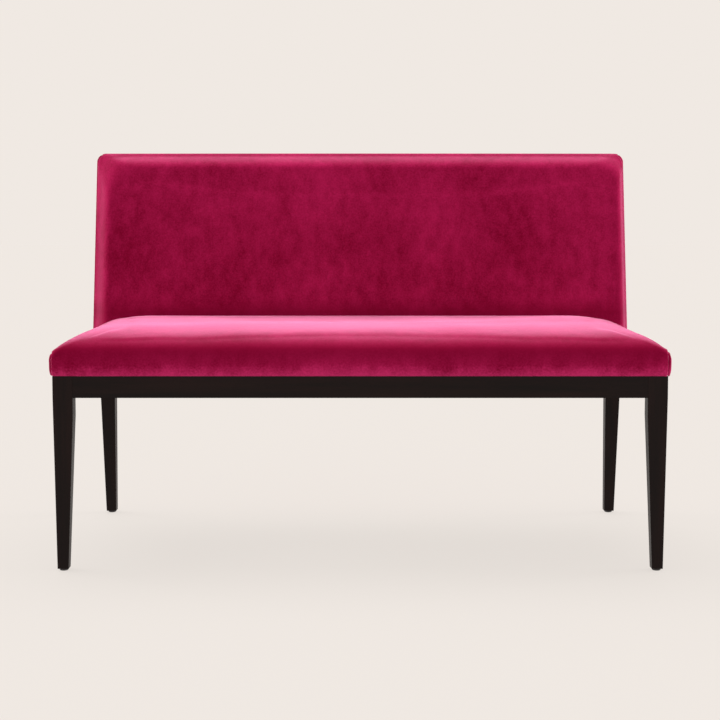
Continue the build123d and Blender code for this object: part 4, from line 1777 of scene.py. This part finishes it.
@dataclass
class BackUpholstery(Upholstery):
    """Foam, wadding, covers and outside panel of the back."""

    form: BackForm = field(
        default_factory=lambda: BackForm(half=0.66895, middle=-0.00045, top=0.9222)
    )
    inner_form: BackForm = field(default_factory=BackForm)
    side_wadding: float = 3.0 * MM
    front_seam: dict[Side, float] = field(
        default_factory=lambda: {Side.LEFT: 2.2 * MM, Side.RIGHT: 3.4 * MM}
    )
    seams: dict[Side, SeamLook] = field(
        default_factory=lambda: {
            Side.LEFT: SeamLook(groove=2.0 * MM, width=1.3 * MM, gather=0.6 * MM, reach=16 * MM, seed=5.0),
            Side.RIGHT: SeamLook(groove=2.2 * MM, roll=1.0 * MM, gather=1.7 * MM, reach=10 * MM, seed=6.0),
        }
    )
    outside_half: float = 0.650
    outside_top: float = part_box("outside_back_cover")[1].z
    outside_edge: float = 1.8 * MM
    foam_thickness: tuple[float, float] = (0.042, 0.033)
    behind_short: float = 5.0 * MM
    face_rows: int = 196
    corner_rows: int = 17
    top_rows: int = 8
    side_rows: int = 120
    side_corner_rows: int = 13
    side_columns: tuple[int, int, int] = (11, 13, 13)
    outside_steps: tuple[float, float] = (1.0 * MM, 9.0 * MM)
    outside_waves: tuple[float, ...] = (0.19, 0.31, 0.47)
    slow_waves: tuple[float, ...] = (0.211, 0.337, 0.523)
    upright_waves: tuple[float, ...] = (0.187, 0.293)

    def rear_seam(self, side: Side) -> float:
        """How far inside the outline the seam behind is."""
        return self.form.half + side.value * self.form.middle - self.outside_half

    def build(self) -> None:
        """Makes every soft layer of the back."""
        self.stuffing.swell(ringed_body("back_stuffing", self.form.slab()), self._held)
        seams = self._main()
        for side in Side:
            self._boxing(side)
        self._outside()
        self._foam()
        self._wadding(seams)

    def _held(self, points: np.ndarray) -> np.ndarray:
        """How firmly the cover is held: behind, at its foot and along its side seams.

        Args:
            points: one row for each point.

        Returns:
            From 0 to 1 for each.
        """
        form = self.form
        x, y, z = points.T
        foot = 1 - rising(z - form.bottom, 10 * MM, 20 * MM)
        rear = form.rear_foot + form.rear_rate * (z - form.bottom)
        behind = rising(y - rear, -40 * MM, 15 * MM)
        seam = rising(np.abs(x - form.middle) - form.half, -14 * MM, 8 * MM)
        return np.maximum.reduce([foot, behind, 0.9 * seam])

    def _lane(self, low: np.ndarray, side: Side, share: float, rear: bool) -> tuple[np.ndarray, np.ndarray]:
        """Where each lane of the main panel is, between the corner's start and the outline.

        Args:
            low: places across at the corner's start, from 0.
            side: whose seam the outermost lane follows.
            share: from 0 at the corner's start to 1 at the outline.
            rear: True behind, where the seam is further in.

        Returns:
            Places across and up.
        """
        form = self.form
        inset = self.rear_seam(side) if rear else self.front_seam[side]
        widest = low.max()
        flat = form.half - form.corner
        reach = flat + form.corner * (math.pi / 2 - form.seam_end)
        arc = reach * low / widest
        angle = math.pi / 2 - np.maximum(arc - flat, 0.0) / form.corner
        top_x = np.minimum(arc, flat) + form.corner * np.cos(angle)
        top_z = form.top - form.corner + form.corner * np.sin(angle)
        start_x = low if not rear else low * (form.half - inset) / widest
        start_z = form.top - form.corner
        line_x = start_x + (top_x - start_x) * share
        line_z = start_z + (top_z - start_z) * share
        seam_x, seam_z = form.seam(inset, share)
        edge = int(np.argmax(low))
        follow = rising(low / widest, 0.95, 0.05)
        return line_x + (seam_x - line_x[edge]) * follow, line_z + (seam_z - line_z[edge]) * follow

    def _main(self) -> list[np.ndarray]:
        """Face, top and the strip behind in one panel.

        Returns:
            The lines of its side seams.
        """
        form = self.form
        left = form.half - self.front_seam[Side.LEFT]
        right = form.half - self.front_seam[Side.RIGHT]
        x = -left + graded(left + right, self.seam_step, self.widest_step)
        rows = []
        for z in np.linspace(form.bottom, form.top - form.corner, self.face_rows)[:-1]:
            height = np.full_like(x, z)
            rows.append(np.stack([x, form.face(x, height), height], axis=1))
        shares = 1 - (1 - np.linspace(0, 1, self.corner_rows)) ** 2
        rows += [self._corner_row(x, float(share), False) for share in shares]
        front_end = rows[-1]
        rear_end = form.behind(front_end[:, 0], front_end[:, 2])
        for part in np.linspace(0, 1, self.top_rows)[1:-1]:
            row = front_end.copy()
            row[:, 1] += (rear_end - row[:, 1]) * part
            rows.append(row)
        rows += [self._corner_row(x, float(share), True) for share in shares[::-1]]
        last = rows[-1].copy()
        last[:, 2] = self.outside_top
        last[:, 1] = form.behind(last[:, 0], last[:, 2])
        grid = np.array(rows + [last])
        grid[..., 0] += form.middle
        plain = self.stuffed(grid, self._settled(grid))
        made = turned_in(self.sewn(plain), plain, rows=(False, True))
        piece = panel_object("back_cover", made, self.cover)
        self.workshop.settle(piece, BACK_VELVET, ["back_cover_main"])
        return [grid[:, 0], grid[:, -1]]

    def _corner_row(self, x: np.ndarray, share: float, rear: bool) -> np.ndarray:
        """One row across the panel between the corners' start and the top.

        Args:
            x: places across at the corners' start.
            share: from 0 at the corners' start to 1 at the outline.
            rear: True behind.

        Returns:
            Points along the row.
        """
        place_x, place_z = np.zeros_like(x), np.zeros_like(x)
        for chosen, side in ((x < 0, Side.LEFT), (x >= 0, Side.RIGHT)):
            across, up = self._lane(np.abs(x[chosen]), side, share, rear)
            place_x[chosen], place_z[chosen] = side.value * across, up
        surface = self.form.behind if rear else self.form.face
        return np.stack([place_x, surface(place_x, place_z), place_z], axis=1)

    def _settled(self, grid: np.ndarray) -> np.ndarray:
        """Gives the face the slow waves that a stuffed back has.

        Args:
            grid: the main panel's plain form.

        Returns:
            Its new points.
        """
        x, z = grid[..., 0], grid[..., 2]
        away = rising(self.form.half - np.abs(x), 0.0, 80 * MM) * rising(self.form.top - z, 0.0, 60 * MM)
        slow = ripple(x + 0.5 * z, self.slow_waves, 2.3) + ripple(z, self.upright_waves, 0.4)
        moved = grid.copy()
        moved[..., 1] -= 0.5 * MM * away * slow
        return moved

    def _boxing(self, side: Side) -> None:
        """One side panel, from the seam on the face round to the rear.

        Args:
            side: which one.
        """
        form = self.form
        start = form.top - form.corner
        levels = np.linspace(form.bottom, start, self.side_rows)[:-1]
        angles = np.linspace(0, form.seam_end, self.side_corner_rows)
        rows = [self._boxing_row(side, 0.0, float(z)) for z in levels]
        rows += [self._boxing_row(side, float(angle), start) for angle in angles]
        grid = np.array(rows)
        grid[..., 0] += form.middle
        if side is Side.LEFT:
            grid = grid[:, ::-1]
        grid = self.stuffed(grid)
        edge, along_top = (-1, grid[-1, ::-1]) if side is Side.LEFT else (0, grid[-1])
        look = replace(self.seams[side], groove=1.2 * MM, width=1.3 * MM, roll=0.3 * MM, gather=0.3 * MM)
        seam = Seam(np.concatenate([grid[:, edge], along_top]))
        grid = turned_in(look.sewn(grid, seam), grid, rows=(False, True))
        piece = panel_object("back_side_panel_" + side.name.lower(), grid, self.cover)
        self.workshop.settle(piece, PLAIN_VELVET, ["back_boxing_" + side.name.lower()])

    def _boxing_row(self, side: Side, angle: float, height: float) -> np.ndarray:
        """One row across the side panel.

        Args:
            side: which panel.
            angle: how far round the corner.
            height: of the row, or of the corner's centre.

        Returns:
            Points from the seam on the face to the one behind.
        """
        form = self.form
        centre = form.half - form.corner

        def at(away: np.ndarray) -> tuple[np.ndarray, np.ndarray]:
            """Places across and up at distances inside the outline."""
            radius = form.corner - away
            return side.value * (centre + radius * math.cos(angle)), height + radius * math.sin(angle)

        front_count, between_count, rear_count = self.side_columns
        front_x, front_z = at(self.front_seam[side] * (1 - np.linspace(0, 1, front_count)) ** 2)
        front = np.stack([front_x, form.face(front_x, front_z), front_z], axis=1)
        rear_x, rear_z = at(self.rear_seam(side) * np.linspace(0, 1, rear_count) ** 2)
        rear = np.stack([rear_x, form.behind(rear_x, rear_z), rear_z], axis=1)
        parts = np.linspace(0, 1, between_count)[1:-1, None]
        between = front[-1] + (rear[0] - front[-1]) * parts
        return np.concatenate([front, between, rear])

    def _outside(self) -> None:
        """The outside panel over the board."""
        form = self.form
        half, low, high = self.outside_half, form.bottom, self.outside_top
        x = -half + graded(2 * half, *self.outside_steps)
        z = low + graded(high - low, *self.outside_steps)
        across, up = np.meshgrid(x, z)
        depth = form.rear_foot + form.rear_rate * (up - form.bottom)
        edge = np.minimum(half - np.abs(across), high - up)
        depth -= 1.0 * MM * np.exp(-((edge / self.outside_edge) ** 2))
        away = rising(edge, 0.0, 30 * MM)
        depth += 0.25 * MM * away * ripple(across + 0.4 * up, self.outside_waves, 0.3)
        grid = np.stack([across, depth, up], axis=2)[:, ::-1]
        piece = panel_object("outside_back_panel", grid, self.cover)
        self.workshop.settle(piece, PLAIN_VELVET, ["outside_back_cover"])

    def _foam(self) -> None:
        """The foam in front of the webbing and over the frame."""
        depth = self.cover + self.wadding + 2 * self.gap
        plain = self.inner_form
        inside = plain.inner(depth, self.cover + self.side_wadding + 2 * self.gap)
        inside = replace(inside, bottom=plain.bottom + self.cover)
        low, high = self.foam_thickness
        tall = inside.top - inside.bottom

        def rear(height: float) -> float:
            """Depth of the foam's flat rear, which comes nearer to the face higher up."""
            up = height - inside.bottom
            return inside.face_foot + inside.face_rate * up + low + (high - low) * (up / tall)

        piece = ringed_body("back_foam_slab", inside.slab(rear))
        self.workshop.settle(piece, FOAM, ["back_foam"])

    def _wadding(self, seams: list[np.ndarray]) -> None:
        """The wadding wrap between foam and cover, drawn in below the seams.

        Args:
            seams: the lines of the cover's seams.
        """
        first = self.cover + self.gap
        outer = replace(self.inner_form.inner(first, first), bottom=self.form.bottom + self.cover)
        rings = outer.wrap(self.wadding, self.side_wadding, self.behind_short)
        layer = self.shift.followed(rings, 2 * first, self.wadding)
        piece = ringed_body("back_wadding", pressed(layer, seams))
        self.workshop.settle(piece, WADDING, ["back_batting"])


# Under the seat


@dataclass
class DustCover:
    """The black cloth tacked under the seat, notched round the four legs."""

    workshop: Workshop
    thickness: float = 0.5 * MM
    sag: float = 3.5 * MM
    crease: float = 0.3 * MM
    crease_waves: tuple[float, ...] = (0.043, 0.071, 0.119)
    below: float = 0.2 * MM
    clearance: float = 1.0 * MM
    spacing: float = 12.0 * MM
    post_depth: float = 0.0533

    def build(self) -> None:
        """A sagging sheet whose corners are cut out at the legs."""
        low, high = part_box("seat_dust_cover")
        leg_low, leg_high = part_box("front_right_leg")
        leg_x, leg_y = leg_low.x - self.clearance, leg_high.y + self.clearance
        post_x = -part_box("back_top_rail")[0].x - self.clearance
        post_y = BACK_FACE_FOOT + self.post_depth - self.clearance
        x = self._lines(low.x, high.x, (-leg_x, leg_x, -post_x, post_x))
        y = self._lines(low.y, high.y, (leg_y, post_y))
        across, deep = np.meshgrid(x, y)
        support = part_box("seat_support_rail")[0].y
        front_bay = np.sin(math.pi * np.clip((deep - low.y) / (support - low.y), 0, 1))
        side_bay = np.sin(math.pi * np.clip(np.abs(across) / high.x, 0, 1))
        fall = self.sag * np.maximum(front_bay, 0) * np.maximum(side_bay, 0)
        creases = self.crease * ripple(across + deep, self.crease_waves, 1.1) * front_bay * side_bay
        points = np.stack([across, deep, high.z - fall + creases - self.below], axis=2)
        middle_x, middle_y = np.abs(x[:-1] + x[1:]) / 2, ((y[:-1] + y[1:]) / 2)[:, None]
        at_leg = (middle_x > leg_x) & (middle_y < leg_y)
        at_post = (middle_x > post_x) & (middle_y > post_y)
        cut = (at_leg | at_post).ravel()
        faces = [face for face, gone in zip(grid_faces(len(y), len(x)), cut) if not gone]
        piece = new_object("dust_cover_sheet", points.reshape(-1, 3), faces)
        thicken(piece, self.thickness)
        self.workshop.settle(piece, CAMBRIC, ["seat_dust_cover"])

    def _lines(self, low: float, high: float, marks: Sequence[float]) -> np.ndarray:
        """Grid lines between two ends that fall on every mark.

        Args:
            low: the first end.
            high: the last end.
            marks: places between them.

        Returns:
            The lines' places.
        """
        stops = sorted({low, high, *marks})
        lines = [low]
        for start, end in zip(stops, stops[1:]):
            count = max(1, math.ceil((end - start) / self.spacing))
            lines += list(start + (end - start) * np.arange(1, count + 1) / count)
        return np.array(lines)


# Frame


@dataclass
class ShownFrame:
    """Finishes of the wood, webbing and fasteners that keep their solids."""

    workshop: Workshop

    def build(self) -> None:
        """Dresses every solid that no soft piece stands for."""
        for name, node in sorted(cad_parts.items()):
            if node.hide_render:
                continue
            finish = self._finish(name)
            self.workshop.dress(node, finish)
            LOG.info("%s: %s", name, finish.slot)

    def _finish(self, name: str) -> Finish:
        """The finish of one node, by what it is.

        Args:
            name: the node's name.

        Returns:
            Its finish.
        """
        shown_wood = {
            "front_rail": Grain.ACROSS, "rear_rail": Grain.ACROSS,
            "left_side_rail": Grain.DEEP, "right_side_rail": Grain.DEEP,
        }
        if name in shown_wood:
            return LacqueredWoodFinish(shown_wood[name])
        if name.endswith(("_leg", "_post")):
            return LacqueredWoodFinish(Grain.UPRIGHT)
        if "glide" in name and "pins" not in name:
            return NYLON
        if name.endswith(("screws", "staples", "pins")):
            return PlatedSteelFinish()
        if "webbing" in name:
            return WebbingFinish()
        if name == "outside_back_board":
            return BOARD
        if name == "back_tacking_strip":
            return CARD
        if name == "back_centre_stile":
            return SawnWoodFinish(Grain.UPRIGHT)
        deep = ("centre_cross_rail", "seat_frame_left_rail", "seat_frame_right_rail", "seat_frame_spreader")
        return SawnWoodFinish(Grain.DEEP if name in deep else Grain.ACROSS)


# Studio


def seen_directly(tree: bpy.types.NodeTree) -> bpy.types.NodeSocket:
    """Whether the camera sees a surface by itself, in gloss or through glass.

    Args:
        tree: the nodes it is added to.

    Returns:
        1 where it does, 0 where the surface only lights others.
    """
    path = tree.nodes.new("ShaderNodeLightPath")
    total = path.outputs["Is Camera Ray"]
    for name in ("Is Glossy Ray", "Is Transmission Ray"):
        either = tree.nodes.new("ShaderNodeMath")
        either.operation = "MAXIMUM"
        tree.links.new(total, either.inputs[0])
        tree.links.new(path.outputs[name], either.inputs[1])
        total = either.outputs[0]
    return total


def light_and_sight(
    tree: bpy.types.NodeTree,
    share: bpy.types.NodeSocket,
    lit: bpy.types.Node,
    seen: bpy.types.Node,
    kind: str,
) -> None:
    """Ends a tree with one shader that lights others and one that is seen.

    Args:
        tree: the nodes.
        share: of the shader that is seen.
        lit: the shader that lights others.
        seen: the shader that is seen.
        kind: the output node's type.
    """
    mix, out = tree.nodes.new("ShaderNodeMixShader"), tree.nodes.new(kind)
    for number, socket in enumerate((share, lit.outputs[0], seen.outputs[0])):
        tree.links.new(socket, mix.inputs[number])
    tree.links.new(mix.outputs[0], out.inputs["Surface"])


@dataclass
class Studio:
    """Floor, backdrop colour, lamps and the camera."""

    backdrop: Colour = (0.871, 0.815, 0.767)
    sky_colour: Colour = (1.0, 0.985, 0.97)
    floor_size: float = 60.0
    eye_height: float = 0.7774
    eye_distance: float = 3.100
    look_down: float = 4.0
    sensor: float = 36.0
    focal_pixels: float = 1455.6
    image_pixels: float = 720.0
    horizon_centre: float = 312.8
    middle_pixel: float = 360.2
    sky: float = 0.85
    floor_glow: float = 0.80
    floor_share: float = 0.51

    def build(self) -> None:
        """Makes all of it."""
        self._camera()
        self._world()
        self._floor()
        self._lamps()
        view = bpy.context.scene.view_settings
        view.view_transform = "Standard"

    def _camera(self) -> None:
        """The photograph's view."""
        data = bpy.data.cameras.new("view")
        data.sensor_width = self.sensor
        data.lens = self.focal_pixels / self.image_pixels * self.sensor
        data.shift_y = (self.horizon_centre - self.image_pixels / 2) / self.image_pixels
        data.shift_x = (self.image_pixels / 2 - self.middle_pixel) / self.image_pixels
        data.dof.use_dof = False
        camera = bpy.data.objects.new("view", data)
        camera.location = (0.0, FRONT_FACE - self.eye_distance, self.eye_height)
        camera.rotation_euler = (math.radians(90 - self.look_down), 0.0, 0.0)
        bpy.context.scene.collection.objects.link(camera)
        bpy.context.scene.camera = camera

    def _world(self) -> None:
        """Plain light from all round, and the backdrop's colour where it is seen."""
        world = bpy.data.worlds.new("studio")
        bpy.context.scene.world = world
        world.use_nodes = True
        tree = world.node_tree
        tree.nodes.clear()
        light = tree.nodes.new("ShaderNodeBackground")
        light.inputs["Color"].default_value = (*self.sky_colour, 1.0)
        light.inputs["Strength"].default_value = self.sky
        seen = tree.nodes.new("ShaderNodeBackground")
        seen.inputs["Color"].default_value = (*self.backdrop, 1.0)
        light_and_sight(tree, seen_directly(tree), light, seen, "ShaderNodeOutputWorld")

    def _floor(self) -> None:
        """A pale floor that keeps a soft shadow."""
        half = self.floor_size / 2
        corners = np.array([(-half, -half, 0), (half, -half, 0), (half, half, 0), (-half, half, 0)])
        floor = new_object("floor", corners, [(0, 1, 2, 3)])
        material = bpy.data.materials.new("studio_floor")
        material.use_nodes = True
        tree = material.node_tree
        tree.nodes.clear()
        matte = tree.nodes.new("ShaderNodeBsdfDiffuse")
        matte.inputs["Color"].default_value = (*[self.floor_share * part for part in self.backdrop], 1.0)
        glow = tree.nodes.new("ShaderNodeEmission")
        glow.inputs["Color"].default_value = (*self.backdrop, 1.0)
        share = tree.nodes.new("ShaderNodeMath")
        share.operation = "MULTIPLY"
        share.inputs[1].default_value = self.floor_glow
        tree.links.new(seen_directly(tree), share.inputs[0])
        light_and_sight(tree, share.outputs[0], matte, glow, "ShaderNodeOutputMaterial")
        floor.data.materials.append(material)

    def _lamps(self) -> None:
        """A broad light from above, one from the left, and a narrower one from the right."""
        self._sun("overhead", strength=2.0, spread=50.0, tilt=(-14.0, -8.0))
        self._sun("from_the_left", strength=3.0, spread=40.0, tilt=(-14.0, -74.0))
        self._sun("from_the_right", strength=3.0, spread=30.0, tilt=(-10.0, 75.0))

    def _sun(self, name: str, strength: float, spread: float, tilt: tuple[float, float]) -> None:
        """One broad far lamp.

        Args:
            name: the lamp's name.
            strength: light on a face turned to it.
            spread: how wide the lamp looks, in degrees.
            tilt: degrees from overhead towards the back, and towards the right.
        """
        data = bpy.data.lights.new(name, "SUN")
        data.energy = strength
        data.angle = math.radians(spread)
        lamp = bpy.data.objects.new(name, data)
        lamp.rotation_euler = (math.radians(tilt[0]), math.radians(tilt[1]), 0.0)
        bpy.context.scene.collection.objects.link(lamp)


def main() -> None:
    """Builds the settee's looks in order."""
    logging.basicConfig(level=logging.INFO, format="%(name)s: %(message)s")
    workshop = Workshop()
    Studio().build()
    for part in (SeatUpholstery(workshop), BackUpholstery(workshop), DustCover(workshop)):
        part.build()
        LOG.info("%s done", type(part).__name__)
    ShownFrame(workshop).build()


if __name__ == "__main__":
    main()
